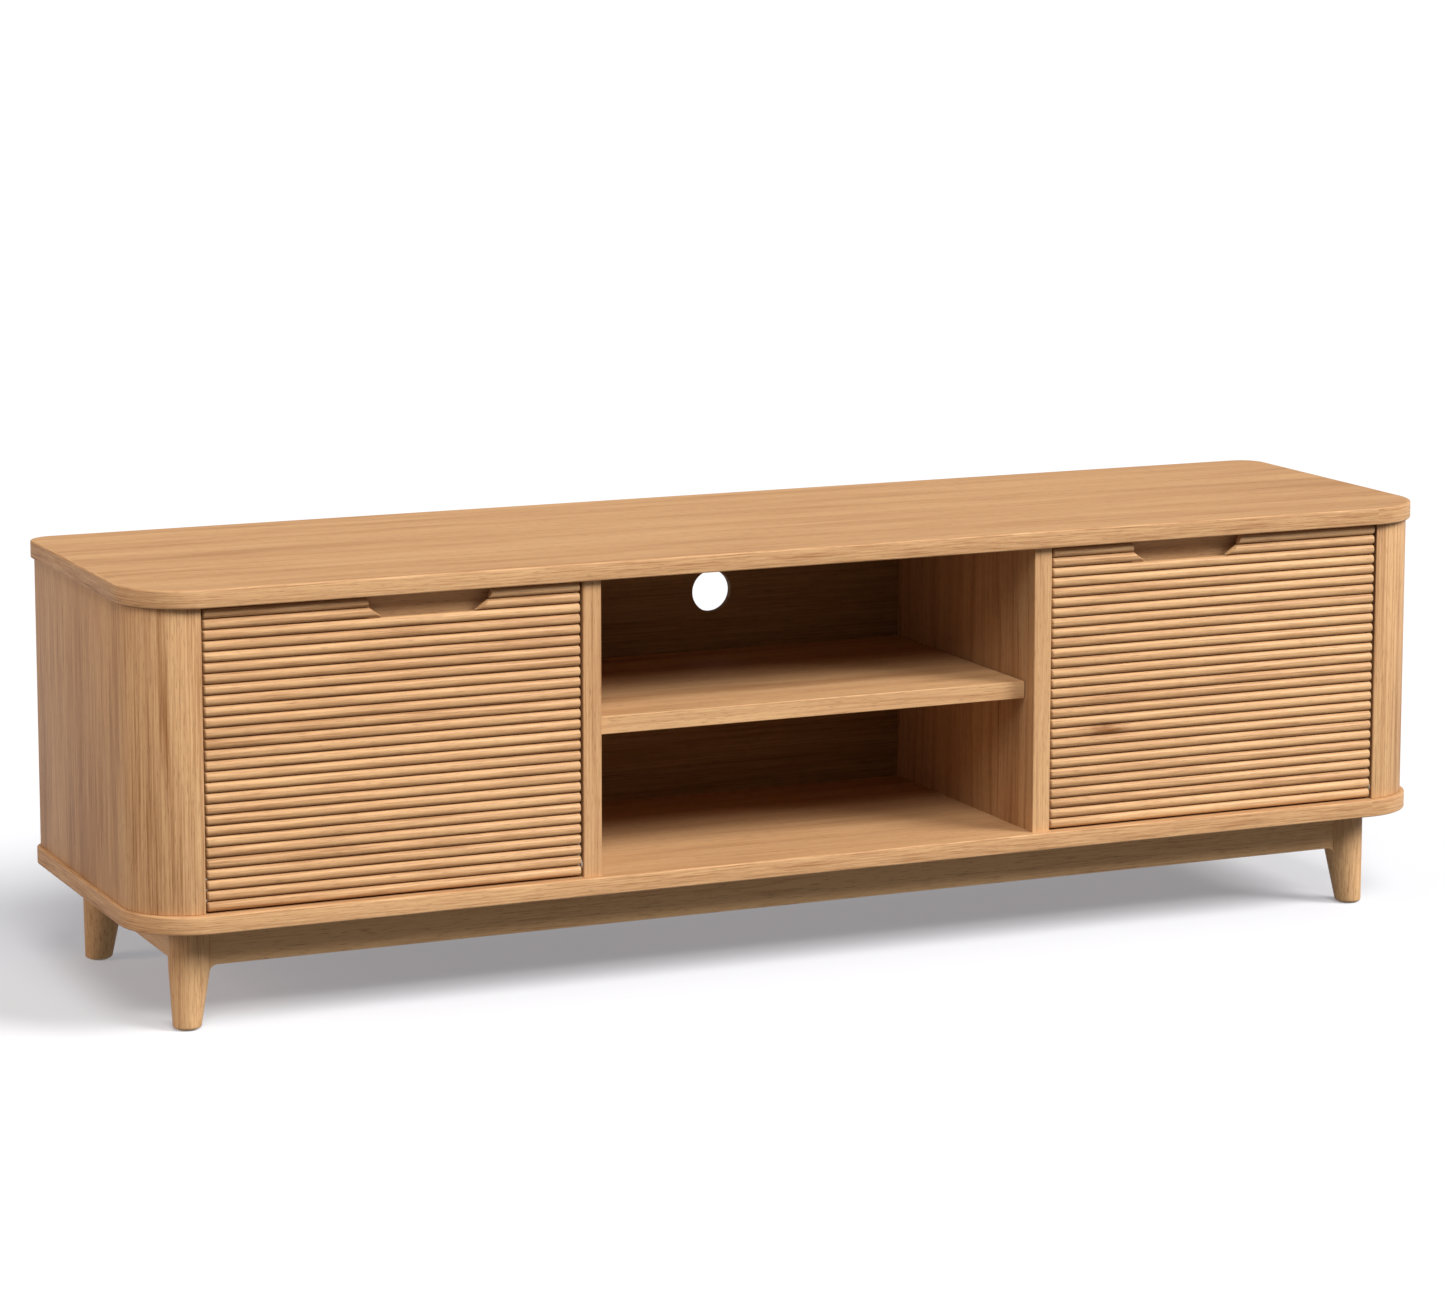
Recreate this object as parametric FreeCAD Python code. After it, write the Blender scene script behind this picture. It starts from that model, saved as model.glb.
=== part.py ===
"""Media cabinet in light oak: a low cupboard with a drop-down ribbed flap at each end.

Millimetres, +Z up. The origin is on the floor under the middle of the cabinet, +X runs to its
right and the front faces -Y. Pieces that come in pairs are built on the right-hand side (+X)
and mirrored. One STEP file is written for each piece, or for each set of like fasteners.
"""
import FreeCAD, Part
import math
import os

V = FreeCAD.Vector
TOUCH = 1e-6                 # points and edges nearer than this are taken as one
PAST = 1.0                   # a cutter runs this far past the faces that it cuts

# ---------------------------------------------------------------- overall sizes
LENGTH = 1600.0
DEPTH = 430.0
HEIGHT = 490.0
UNDERSIDE = 118.0            # floor to the underside of the bottom panel

# ---------------------------------------------------------------- top and bottom panels
PANEL_T = 20.0
FRONT_CORNER_R = 80.0
REAR_CORNER_R = 30.0
ARRIS_R = 1.5                # rounding of the panels' edges

# ---------------------------------------------------------------- carcass
SIDE_T = 20.0                # side panels, and the wall of the curved front posts
SIDE_SETBACK = 4.0           # panels' ends to the side panels
FRONT_SETBACK = 9.0          # panels' front edge to the posts, dividers and rib crests
REAR_SETBACK = 4.0
POST_CORNER_STEP = 8.0       # the front posts' radius is this much under the panels'
REAR_POST_W = 32.0
DIVIDER_T = 22.0
DIVIDER_REAR_SETBACK = 30.0
BAY_W = 536.0                # clear width between the dividers
UPRIGHT_EASE = 1.0           # rounding of the dividers' and shelf's front edges
BACK_T = 9.0
BACK_RECESS = 58.0           # panels' rear edge to the back panels' rear face
GROOVE_DEPTH = 6.0
GROOVE_FIT = 0.1
GROOVE_END_GAP = 0.5
CABLE_HOLE_D = 50.0
CABLE_HOLE_X = 20.0
CABLE_HOLE_DROP = 87.0       # underside of the top panel to the hole's centre

# ---------------------------------------------------------------- middle shelf
SHELF_T = 20.0
SHELF_UNDERSIDE = 154.0      # bay floor to the shelf's underside
SHELF_SETBACK = 21.0         # divider fronts to the shelf's front edge
SHELF_END_GAP = 1.2
SHELF_BACK_GAP = 0.5
SHELF_PIN_D = 5.0
SHELF_PIN_BURIED = 10.0
SHELF_PIN_OUT = 12.0
SHELF_PIN_INSET = 40.0       # shelf edge to the pins
SHELF_PIN_COLLAR_D = 7.0
SHELF_PIN_COLLAR_T = 0.8

# ---------------------------------------------------------------- flaps
FLAP_SIDE_GAP = 2.0
FLAP_END_GAP = 1.5
FLAP_BOARD_T = 18.0
RIB_T = 7.0                  # a batten, back to crest
RIB_PROUD = 5.0              # its rounded part
RIB_PITCH_AIM = 11.75
RIB_GAP = 0.6                # between the backs of two battens
PULL_W = 143.0
PULL_RIBS = 2                # the finger pull is cut through this many battens
PULL_OFFSET = 40.0           # from the flap's middle towards the centre bay
PULL_DEPTH = 18.0            # behind the crests
PULL_UNDERCUT = 8.0          # hollow behind the lip that the fingers hook

# ---------------------------------------------------------------- flap pivots
PIVOT_BACK = 10.0            # axis behind the rib crests
PIVOT_UP = 13.5              # axis above the bottom panel
PIVOT_PIN_D = 5.0
PIVOT_RUN_FIT = 0.05         # radial
PIVOT_PLATE_T = 2.5
PIVOT_PLATE_H = 41.0
PIVOT_PLATE_LIFT = 0.5       # plate above the board's lower edge
PIVOT_PLATE_CORNER_R = 2.0
PIVOT_PLATE_SCREWS_UP = (24.0, 36.0)           # above the flap board's lower edge
BUSH_D = 8.0
BUSH_LENGTH = 12.0
BUSH_FLANGE_D = 12.0
BUSH_FLANGE_T = 1.0
BUSH_PRESS_FIT = 0.02
PIN_END_GAP = 1.0

# ---------------------------------------------------------------- flap stays
STAY_UP = 110.0              # arm pivot above the flap's axis
STAY_BEHIND = 10.0           # arm pivot behind the flap board
STAY_CLOSED_ANGLE = 20.0     # at the flap's axis, between the arm pivot and the stud
FLAP_TRAVEL = 90.0
ARM_T = 2.5
ARM_W = 16.0
ARM_END_WALL = 7.0
STUD_D = 6.0
STUD_SLOT_GAP = 0.3
STUD_SHOULDER_D = 12.0
STUD_CAP_D = 14.0
STUD_CAP_T = 4.0
STAY_PLATE_SIZE = 30.0
STAY_PLATE_T = 2.0
STAY_LAYER_GAP = 0.3         # between the arm and what is beside it
STAY_STANDOFF = 3.9          # base plate to the arm's shoulder
BRACKET_T = 2.0
BRACKET_FLANGE_W = 20.0
BRACKET_FLANGE_H = 30.0
BRACKET_EAR_R = 9.0
RIVET_D = 5.0
RIVET_HEAD_D = 9.0
RIVET_HEAD_T = 1.5

# ---------------------------------------------------------------- magnetic catches
CATCH_FROM_DIVIDER = 40.0    # divider to the catch's middle
CATCH_W = 40.0
CATCH_DEPTH = 16.0
CATCH_H = 13.0
CATCH_GAP = 0.5              # strike to magnet with the flap closed
MAGNET_W = 26.0
MAGNET_DEPTH = 5.0
MAGNET_H = 6.0
STRIKE_W = 36.0
STRIKE_H = 10.0
STRIKE_T = 1.2
STRIKE_DROP = 1.0            # below the flap board's upper edge

# ---------------------------------------------------------------- base
LEG_INSET_SIDE = 75.5        # panels' ends to the legs' upper centres
LEG_INSET_FRONT = 72.0
LEG_INSET_REAR = 29.0
LEG_TOP_R = 23.0
LEG_FOOT_R = 15.4
LEG_FOOT_EASE = 3.0
GLIDE_D = 22.0
GLIDE_T = 4.0
GLIDE_BURIED = 2.5
GLIDE_FIT = 0.1
APRON_T = 18.0
APRON_H = 49.0
APRON_FACE = 11.0            # aprons' outer faces outside the legs' centres
APRON_LEG_FIT = 0.1
APRON_FILLET_R = 10.0        # where an apron's lower edge runs into a leg
APRON_FILLET_IN_LEG = 1.0    # the curve starts this far inside the leg's surface
RAIL_T = 18.0
RAIL_H = 40.0
TENON_T = 8.0
TENON_W = 28.0
TENON_LEG_START = 8.0        # from a leg's centre
TENON_IN_APRON = 20.0
TENON_IN_FACE = 10.0         # into the face of an apron
TENON_FIT = 0.1
TENON_END_GAP = 1.0
BLOCK_LEG = 75.0             # corner block, along each apron
BLOCK_H = 34.0
BLOCK_LEG_GAP = 1.0
BLOCK_SCREW_NEAR = 12.5      # screws from the block's two straight faces
BLOCK_SCREW_FAR = 46.5
HANGER_D = 8.0
HANGER_IN_LEG = 16.0
HANGER_OUT = 11.0            # beyond the block
HANGER_HOLE_D = 9.0
HANGER_WASHER_D = 18.0
HANGER_WASHER_T = 1.6
HANGER_NUT_AF = 13.0
HANGER_NUT_T = 6.5

# ---------------------------------------------------------------- dowels and screws
DOWEL_D = 8.0
DOWEL_SHORT_END = 12.0       # into a panel's face or a post's end
DOWEL_LONG_END = 18.0        # into an upright's end
DOWEL_FIT = 0.05
DOWEL_END_GAP = 1.0
DOWEL_SHARES_SIDE = (0.1, 0.45, 0.8)           # of each upright's depth
DOWEL_SHARES_DIVIDER = (0.1, 0.4, 0.65, 0.9)
DOWEL_SHARES_UP = (0.2, 0.8)                   # of the carcass's height, side to posts
DOWEL_TURNS_POST = (30, 60)                    # degrees round a front post
SCREW_FIT = 0.05
CROSS_SLOT_W = 0.9
# each screw: shank diameter, head diameter, length
PLATE_SCREW = (3.0, 6.0, 18.0)
STAY_SCREW = (3.5, 7.0, 16.0)
BRACKET_SCREW = (3.5, 7.0, 13.0)
CATCH_SCREW = (3.0, 6.0, 24.0)
STRIKE_SCREW = (3.0, 6.0, 12.0)
BLOCK_SCREW = (4.5, 9.0, 48.0)

# ---------------------------------------------------------------- planes worked out from them
panel_front = -DEPTH / 2
panel_rear = DEPTH / 2
floor_z = UNDERSIDE + PANEL_T
ceiling_z = HEIGHT - PANEL_T
side_x = LENGTH / 2 - SIDE_SETBACK
front_y = panel_front + FRONT_SETBACK
rear_y = panel_rear - REAR_SETBACK
post_r = FRONT_CORNER_R - POST_CORNER_STEP
post_x = side_x - post_r
post_y = front_y + post_r
rear_post_r = REAR_CORNER_R - REAR_SETBACK
rear_post_y = rear_y - rear_post_r
divider_in = BAY_W / 2
divider_out = divider_in + DIVIDER_T
divider_rear = panel_rear - DIVIDER_REAR_SETBACK
back_rear = panel_rear - BACK_RECESS
back_front = back_rear - BACK_T
shelf_z = floor_z + SHELF_UNDERSIDE
shelf_front = front_y + SHELF_SETBACK
shelf_rear = back_front - SHELF_BACK_GAP

flap_in = divider_out + FLAP_SIDE_GAP
flap_out = post_x - FLAP_SIDE_GAP
flap_bottom = floor_z + FLAP_END_GAP
flap_top = ceiling_z - FLAP_END_GAP
rib_count = round((flap_top - flap_bottom) / RIB_PITCH_AIM)
rib_pitch = (flap_top - flap_bottom) / rib_count
board_front = front_y + RIB_T
board_rear = board_front + FLAP_BOARD_T
pull_depth_z = PULL_RIBS * rib_pitch
pull_x = (flap_in + flap_out) / 2 - PULL_OFFSET
pivot_y = front_y + PIVOT_BACK
pivot_z = floor_z + PIVOT_UP

arm_pivot_y = board_rear + STAY_BEHIND
arm_pivot_z = pivot_z + STAY_UP
arm_reach = math.hypot(arm_pivot_y - pivot_y, arm_pivot_z - pivot_z)
arm_pivot_angle = math.atan2(arm_pivot_z - pivot_z, arm_pivot_y - pivot_y)
stud_angle = arm_pivot_angle - math.radians(STAY_CLOSED_ANGLE)
stud_y = pivot_y + arm_reach * math.cos(stud_angle)
stud_z = pivot_z + arm_reach * math.sin(stud_angle)
slot_start = 2 * arm_reach * math.sin(math.radians(STAY_CLOSED_ANGLE / 2))
slot_end = 2 * arm_reach * math.sin(math.radians((STAY_CLOSED_ANGLE + FLAP_TRAVEL) / 2))
arm_angle = math.degrees(math.atan2(stud_z - arm_pivot_z, stud_y - arm_pivot_y))
stay_plate_x = divider_out + STAY_PLATE_T
arm_x = stay_plate_x + STAY_STANDOFF + STAY_LAYER_GAP
bracket_x = arm_x + ARM_T + STAY_LAYER_GAP
catch_x = divider_out + CATCH_FROM_DIVIDER
magnet_front = board_rear + STRIKE_T + CATCH_GAP

leg_x = LENGTH / 2 - LEG_INSET_SIDE
leg_front_y = panel_front + LEG_INSET_FRONT
leg_rear_y = panel_rear - LEG_INSET_REAR
apron_z = UNDERSIDE - APRON_H
apron_face_x = leg_x + APRON_FACE
apron_front_y = leg_front_y - APRON_FACE
apron_rear_y = leg_rear_y + APRON_FACE
leg_bottom_z = GLIDE_T - GLIDE_BURIED
block_z = UNDERSIDE - BLOCK_H
rail_x = divider_in + DIVIDER_T / 2
tenon_z = (UNDERSIDE + apron_z) / 2


# ---------------------------------------------------------------- shapes to build with
def box(x0, x1, y0, y1, z0, z1):
    """Box between two values on each axis, given in either order."""
    low = V(min(x0, x1), min(y0, y1), min(z0, z1))
    high = V(max(x0, x1), max(y0, y1), max(z0, z1))
    return Part.makeBox(high.x - low.x, high.y - low.y, high.z - low.z, low)


def rod(start, end, radius):
    """Cylinder from one point to another."""
    along = end - start
    return Part.makeCylinder(radius, along.Length, start, along)


def fused(shapes):
    """One solid from pieces that touch or overlap."""
    result = shapes[0]
    for shape in shapes[1:]:
        result = result.fuse(shape)
    return result.removeSplitter()


def cut_by(shape, tools):
    """The shape less each tool that comes near it."""
    for tool in tools:
        if shape.BoundBox.intersect(tool.BoundBox):
            shape = shape.cut(tool)
    return shape


def arc(centre, radius, start_deg, end_deg):
    """Arc in a horizontal plane."""
    points = []
    for turn in (start_deg, (start_deg + end_deg) / 2, end_deg):
        angle = math.radians(turn)
        points.append(centre + V(radius * math.cos(angle), radius * math.sin(angle), 0))
    return Part.Arc(*points).toShape()


def closed_face(edges):
    """Face inside edges, with straight edges put in wherever two of them don't meet."""
    joined = []
    for number, edge in enumerate(edges):
        joined.append(edge)
        leaving = edge.valueAt(edge.LastParameter)
        following = edges[(number + 1) % len(edges)]
        arriving = following.valueAt(following.FirstParameter)
        if (arriving - leaving).Length > TOUCH:
            joined.append(Part.makeLine(leaving, arriving))
    return Part.Face(Part.Wire(joined))


def eased(shape, radius, wanted):
    """Rounds the edges that the test picks."""
    return shape.makeFillet(radius, [edge for edge in shape.Edges if wanted(edge)])


def along_x(edge):
    """Whether an edge runs straight along X."""
    return edge.BoundBox.YLength < TOUCH and edge.BoundBox.ZLength < TOUCH


def mirrored(shape):
    """The left-hand piece for a right-hand one."""
    return shape.mirror(V(0, 0, 0), V(1, 0, 0))


def both_sides(shapes):
    """Right-hand pieces followed by their left-hand ones."""
    return shapes + [mirrored(shape) for shape in shapes]


def screw(head, along, kind, grown=0.0):
    """Countersunk screw with its head's face at a point. Grown, it is the hole for one."""
    shank_d, head_d, length = kind
    shank_r = shank_d / 2 + grown
    head_r = head_d / 2 + grown
    head_h = head_r - shank_r
    point_h = shank_d
    body = fused([
        Part.makeCone(head_r, shank_r, head_h),
        Part.makeCylinder(shank_r, length - head_h - point_h, V(0, 0, head_h)),
        Part.makeCone(shank_r, shank_r / 5, point_h, V(0, 0, length - point_h)),
    ])
    if not grown:
        arm = head_d / 4
        half = CROSS_SLOT_W / 2
        depth = head_h / 2
        body = body.cut(box(-arm, arm, -half, half, 0, depth))
        body = body.cut(box(-half, half, -arm, arm, 0, depth))
    body.Placement = FreeCAD.Placement(head, FreeCAD.Rotation(V(0, 0, 1), along))
    return body


def screws(places, along, kind):
    """A set of like screws and the holes for them."""
    made = [screw(place, along, kind) for place in places]
    holes = [screw(place, along, kind, SCREW_FIT) for place in places]
    return made, holes


# ---------------------------------------------------------------- dowels
def upright_joints():
    """Plan positions of the dowels that stand in the right-hand uprights' ends."""
    side_mid = side_x - SIDE_T / 2
    side_run = rear_post_y - post_y
    places = [(side_mid, post_y + share * side_run) for share in DOWEL_SHARES_SIDE]
    divider_mid = divider_in + DIVIDER_T / 2
    divider_run = back_front - front_y
    places += [(divider_mid, front_y + share * divider_run) for share in DOWEL_SHARES_DIVIDER]
    for turn in DOWEL_TURNS_POST:
        reach = post_r - SIDE_T / 2
        angle = math.radians(turn)
        places.append((post_x + reach * math.cos(angle), post_y - reach * math.sin(angle)))
    places.append((side_x - REAR_POST_W / 2, (rear_post_y + rear_y) / 2))
    return places


def dowel_lines():
    """Start and end of every right-hand dowel in the carcass."""
    lines = []
    for x, y in upright_joints():
        lines.append((V(x, y, floor_z - DOWEL_SHORT_END), V(x, y, floor_z + DOWEL_LONG_END)))
        lines.append((V(x, y, ceiling_z + DOWEL_SHORT_END), V(x, y, ceiling_z - DOWEL_LONG_END)))
    side_mid = side_x - SIDE_T / 2
    for share in DOWEL_SHARES_UP:
        z = floor_z + share * (ceiling_z - floor_z)
        lines.append((V(side_mid, post_y - DOWEL_SHORT_END, z),
                      V(side_mid, post_y + DOWEL_LONG_END, z)))
        lines.append((V(side_mid, rear_post_y + DOWEL_SHORT_END, z),
                      V(side_mid, rear_post_y - DOWEL_LONG_END, z)))
    return lines


dowels = both_sides([rod(start, end, DOWEL_D / 2) for start, end in dowel_lines()])
dowel_holes = []
for start, end in dowel_lines():
    spare = (end - start).normalize() * DOWEL_END_GAP
    dowel_holes.append(rod(start - spare, end + spare, DOWEL_D / 2 + DOWEL_FIT))
dowel_holes = both_sides(dowel_holes)


# ---------------------------------------------------------------- top and bottom panels
def panel(z):
    """Slab with large rounded front corners and small rear ones, its edges eased."""
    x = LENGTH / 2
    front = FRONT_CORNER_R
    rear = REAR_CORNER_R
    outline = closed_face([
        arc(V(x - front, panel_front + front, z), front, -90, 0),
        arc(V(x - rear, panel_rear - rear, z), rear, 0, 90),
        arc(V(rear - x, panel_rear - rear, z), rear, 90, 180),
        arc(V(front - x, panel_front + front, z), front, 180, 270),
    ])
    slab = outline.extrude(V(0, 0, PANEL_T))
    return eased(slab, ARRIS_R, lambda edge: edge.BoundBox.ZLength < TOUCH)


groove_half = side_x - SIDE_T + GROOVE_DEPTH


def back_groove():
    """Space that the back panels fill, with clearance, out to the bottoms of the grooves."""
    return box(-groove_half, groove_half, back_front - GROOVE_FIT, back_rear + GROOVE_FIT,
               floor_z - GROOVE_DEPTH, ceiling_z + GROOVE_DEPTH)


# ---------------------------------------------------------------- carcass
def side_panel():
    """Straight part of the right-hand side, grooved for the back panel."""
    board = box(side_x - SIDE_T, side_x, post_y, rear_post_y, floor_z, ceiling_z)
    return cut_by(board, dowel_holes + [back_groove()])


def front_post():
    """Quarter-round corner post with a wall as thick as the side panel."""
    centre = V(post_x, post_y, floor_z)
    outline = closed_face([
        arc(centre, post_r, -90, 0),
        arc(centre, post_r - SIDE_T, 0, -90),
    ])
    post = outline.extrude(V(0, 0, ceiling_z - floor_z))
    return cut_by(post, dowel_holes + [bush_hole(post_x, 1)])


def rear_post():
    """Solid rear corner post with a rounded outer corner."""
    centre = V(side_x - rear_post_r, rear_post_y, floor_z)
    inner = side_x - REAR_POST_W
    outline = closed_face([
        arc(centre, rear_post_r, 0, 90),
        Part.makeLine(V(inner, rear_y, floor_z), V(inner, rear_post_y, floor_z)),
    ])
    return cut_by(outline.extrude(V(0, 0, ceiling_z - floor_z)), dowel_holes)


def divider():
    """Right-hand upright between the centre bay and a cupboard."""
    board = box(divider_in, divider_out, front_y, divider_rear, floor_z, ceiling_z)
    at_front = lambda edge: edge.BoundBox.YMax < front_y + TOUCH and edge.BoundBox.XLength < TOUCH
    board = eased(board, UPRIGHT_EASE, at_front)
    slot = back_groove()
    keep = box(divider_in + GROOVE_DEPTH, divider_out - GROOVE_DEPTH,
               back_front - PAST, back_rear + PAST, floor_z, ceiling_z)
    tools = dowel_holes + [slot.cut(keep), bush_hole(divider_out, -1)]
    tools += both_sides(shelf_pin_holes) + stay_plate_screw_holes
    return cut_by(board, tools)


def back_panel(x0, x1):
    """Back panel between two upright grooves, standing in the top and bottom grooves."""
    spare = GROOVE_END_GAP
    return box(x0 + spare, x1 - spare, back_front, back_rear,
               floor_z - GROOVE_DEPTH + spare, ceiling_z + GROOVE_DEPTH - spare)


def centre_back_panel():
    """Back of the centre bay, with a round hole for cables."""
    edge = divider_in + GROOVE_DEPTH
    hole_z = ceiling_z - CABLE_HOLE_DROP
    hole = rod(V(CABLE_HOLE_X, back_front - PAST, hole_z), V(CABLE_HOLE_X, back_rear + PAST, hole_z),
               CABLE_HOLE_D / 2)
    return back_panel(-edge, edge).cut(hole)


# ---------------------------------------------------------------- middle shelf
def shelf():
    """Loose shelf of the centre bay."""
    half = divider_in - SHELF_END_GAP
    board = box(-half, half, shelf_front, shelf_rear, shelf_z, shelf_z + SHELF_T)
    return eased(board, UPRIGHT_EASE, lambda edge: along_x(edge) and edge.BoundBox.YMax < 0)


def shelf_pin(y, grown=0.0):
    """Steel pin in the right-hand divider that the shelf rests on."""
    z = shelf_z - SHELF_PIN_D / 2
    inner = divider_in - SHELF_PIN_OUT
    buried = divider_in + SHELF_PIN_BURIED + 10 * grown
    pin = rod(V(inner, y, z), V(buried, y, z), SHELF_PIN_D / 2 + grown)
    if grown:
        return pin
    collar = rod(V(divider_in - SHELF_PIN_COLLAR_T, y, z), V(divider_in, y, z),
                 SHELF_PIN_COLLAR_D / 2)
    below_shelf = box(inner, divider_in, y - SHELF_PIN_D, y + SHELF_PIN_D,
                      shelf_z - 2 * SHELF_PIN_D, shelf_z)
    return fused([pin, collar.common(below_shelf)])


shelf_pin_rows = (shelf_front + SHELF_PIN_INSET, shelf_rear - SHELF_PIN_INSET)
shelf_pins = both_sides([shelf_pin(y) for y in shelf_pin_rows])
shelf_pin_holes = [shelf_pin(y, BUSH_PRESS_FIT) for y in shelf_pin_rows]


# ---------------------------------------------------------------- flap pivots in the carcass
def bush_hole(face_x, way):
    """Hole for a pivot bush in an upright's face, towards +X or -X."""
    return rod(V(face_x, pivot_y, pivot_z),
               V(face_x + way * (BUSH_LENGTH + PIN_END_GAP), pivot_y, pivot_z),
               BUSH_D / 2 + BUSH_PRESS_FIT)


def pivot_bush(face_x, way):
    """Flanged nylon bush, let into an upright's face towards +X or -X."""
    centre = V(face_x, pivot_y, pivot_z)
    body = rod(centre, centre + V(way * BUSH_LENGTH, 0, 0), BUSH_D / 2)
    flange = rod(centre, centre - V(way * BUSH_FLANGE_T, 0, 0), BUSH_FLANGE_D / 2)
    bore = rod(centre - V(way * 2 * BUSH_FLANGE_T, 0, 0),
               centre + V(way * (BUSH_LENGTH + PAST), 0, 0), PIVOT_PIN_D / 2 + PIVOT_RUN_FIT)
    return fused([body, flange]).cut(bore)


pivot_bushes = both_sides([pivot_bush(post_x, 1), pivot_bush(divider_out, -1)])


# ---------------------------------------------------------------- flaps
def pull_cutter(grown, y0, y1):
    """Cutter for the finger pull: straight sides running into round lower corners."""
    radius = pull_depth_z + grown
    half = PULL_W / 2 + grown
    top = flap_top + PAST
    low = flap_top - radius
    block = box(pull_x - half, pull_x + half, y0, y1, low, top)
    corners = [edge for edge in block.Edges
               if edge.BoundBox.YLength > TOUCH and edge.BoundBox.ZMax < low + TOUCH]
    return block.makeFillet(radius - 1e-3, corners)


def plate_slot(face_x, way):
    """Recess for a pivot plate in the end of the flap board."""
    top = flap_bottom + PIVOT_PLATE_LIFT + PIVOT_PLATE_H + GROOVE_FIT
    return box(face_x, face_x + way * PIVOT_PLATE_T, board_front - PAST, board_rear + PAST,
               flap_bottom - PAST, top)


def flap_board():
    """Plain board behind the battens, with the finger pull's hollow and the plate recesses."""
    board = box(flap_in, flap_out, board_front, board_rear, flap_bottom, flap_top)
    hollow = pull_cutter(PULL_UNDERCUT, board_front - PAST, front_y + PULL_DEPTH)
    tools = [hollow, plate_slot(flap_in, 1), plate_slot(flap_out, -1)]
    tools += plate_screw_holes + bracket_screw_holes + strike_screw_holes
    return cut_by(board, tools)


def flap_ribs():
    """Half-round battens across the flap, the top ones parted by the finger pull."""
    half = (rib_pitch - RIB_GAP) / 2
    shoulder = front_y + RIB_PROUD
    arch = Part.Arc(V(flap_in, shoulder, half), V(flap_in, front_y, 0),
                    V(flap_in, shoulder, -half)).toShape()
    back = Part.makeLine(V(flap_in, board_front, -half), V(flap_in, board_front, half))
    batten = closed_face([arch, back]).extrude(V(flap_out - flap_in, 0, 0))
    cutter = pull_cutter(0.0, front_y - PAST, board_front + PAST)
    ribs = []
    for number in range(rib_count):
        rib = batten.copy()
        rib.translate(V(0, 0, flap_top - (number + 0.5) * rib_pitch))
        if number < PULL_RIBS:
            rib = rib.cut(cutter)
        ribs += rib.Solids
    return ribs


def pivot_plate(face_x, way):
    """Steel plate let into the flap board's end, with the pin's hole."""
    low = flap_bottom + PIVOT_PLATE_LIFT
    plate = box(face_x, face_x + way * PIVOT_PLATE_T, board_front, board_rear,
                low, low + PIVOT_PLATE_H)
    plate = eased(plate, PIVOT_PLATE_CORNER_R, along_x)
    return cut_by(plate, plate_screw_holes + [pin_rod(face_x, way, PIVOT_PLATE_T)])


def pin_rod(face_x, way, length_in):
    """Cylinder of a pivot pin, from inside its plate out into the bush."""
    reach = FLAP_SIDE_GAP + BUSH_LENGTH - PIN_END_GAP
    return rod(V(face_x + way * length_in, pivot_y, pivot_z),
               V(face_x - way * reach, pivot_y, pivot_z), PIVOT_PIN_D / 2)


def pivot_pin(face_x, way):
    """Pivot pin pressed into its plate, with an eased tip."""
    pin = pin_rod(face_x, way, PIVOT_PLATE_T)
    tip = min(way * edge.CenterOfMass.x for edge in pin.Edges)
    at_tip = [edge for edge in pin.Edges
              if abs(way * edge.CenterOfMass.x - tip) < TOUCH and edge.BoundBox.XLength < TOUCH]
    return pin.makeChamfer(PIVOT_PIN_D / 8, at_tip)


plate_screw_rows = [flap_bottom + up for up in PIVOT_PLATE_SCREWS_UP]
board_mid = (board_front + board_rear) / 2
inner_plate = screws([V(flap_in, board_mid, z) for z in plate_screw_rows], V(1, 0, 0), PLATE_SCREW)
outer_plate = screws([V(flap_out, board_mid, z) for z in plate_screw_rows], V(-1, 0, 0), PLATE_SCREW)
plate_screws = inner_plate[0] + outer_plate[0]
plate_screw_holes = inner_plate[1] + outer_plate[1]


# ---------------------------------------------------------------- flap stays
def stay_plate():
    """Base plate of the guide stud, screwed to the divider's cupboard side."""
    half = STAY_PLATE_SIZE / 2
    plate = box(divider_out, stay_plate_x, stud_y - half, stud_y + half, stud_z - half, stud_z + half)
    return cut_by(eased(plate, PIVOT_PLATE_CORNER_R, along_x), stay_plate_screw_holes)


def guide_stud():
    """Shouldered stud that the arm's slot slides on."""
    centre = V(stay_plate_x, stud_y, stud_z)
    shoulder_x = arm_x - STAY_LAYER_GAP
    cap_x = arm_x + ARM_T + STAY_LAYER_GAP
    shoulder = rod(centre, V(shoulder_x, stud_y, stud_z), STUD_SHOULDER_D / 2)
    shank = rod(V(shoulder_x, stud_y, stud_z), V(cap_x, stud_y, stud_z), STUD_D / 2)
    cap = rod(V(cap_x, stud_y, stud_z), V(cap_x + STUD_CAP_T, stud_y, stud_z), STUD_CAP_D / 2)
    cap = cap.makeFillet(STUD_CAP_T / 4, [edge for edge in cap.Edges
                                          if edge.BoundBox.XMin > cap_x + TOUCH])
    return fused([shoulder, shank, cap])


def rounded_bar(u0, u1, radius):
    """Flat bar along +Y in the arm's layer, with round ends centred u0 and u1 from its pivot."""
    straight = box(arm_x, arm_x + ARM_T, arm_pivot_y + u0, arm_pivot_y + u1,
                   arm_pivot_z - radius, arm_pivot_z + radius)
    ends = []
    for u in (u0, u1):
        centre = V(arm_x, arm_pivot_y + u, arm_pivot_z)
        ends.append(rod(centre, centre + V(ARM_T, 0, 0), radius))
    return fused([straight] + ends)


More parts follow.
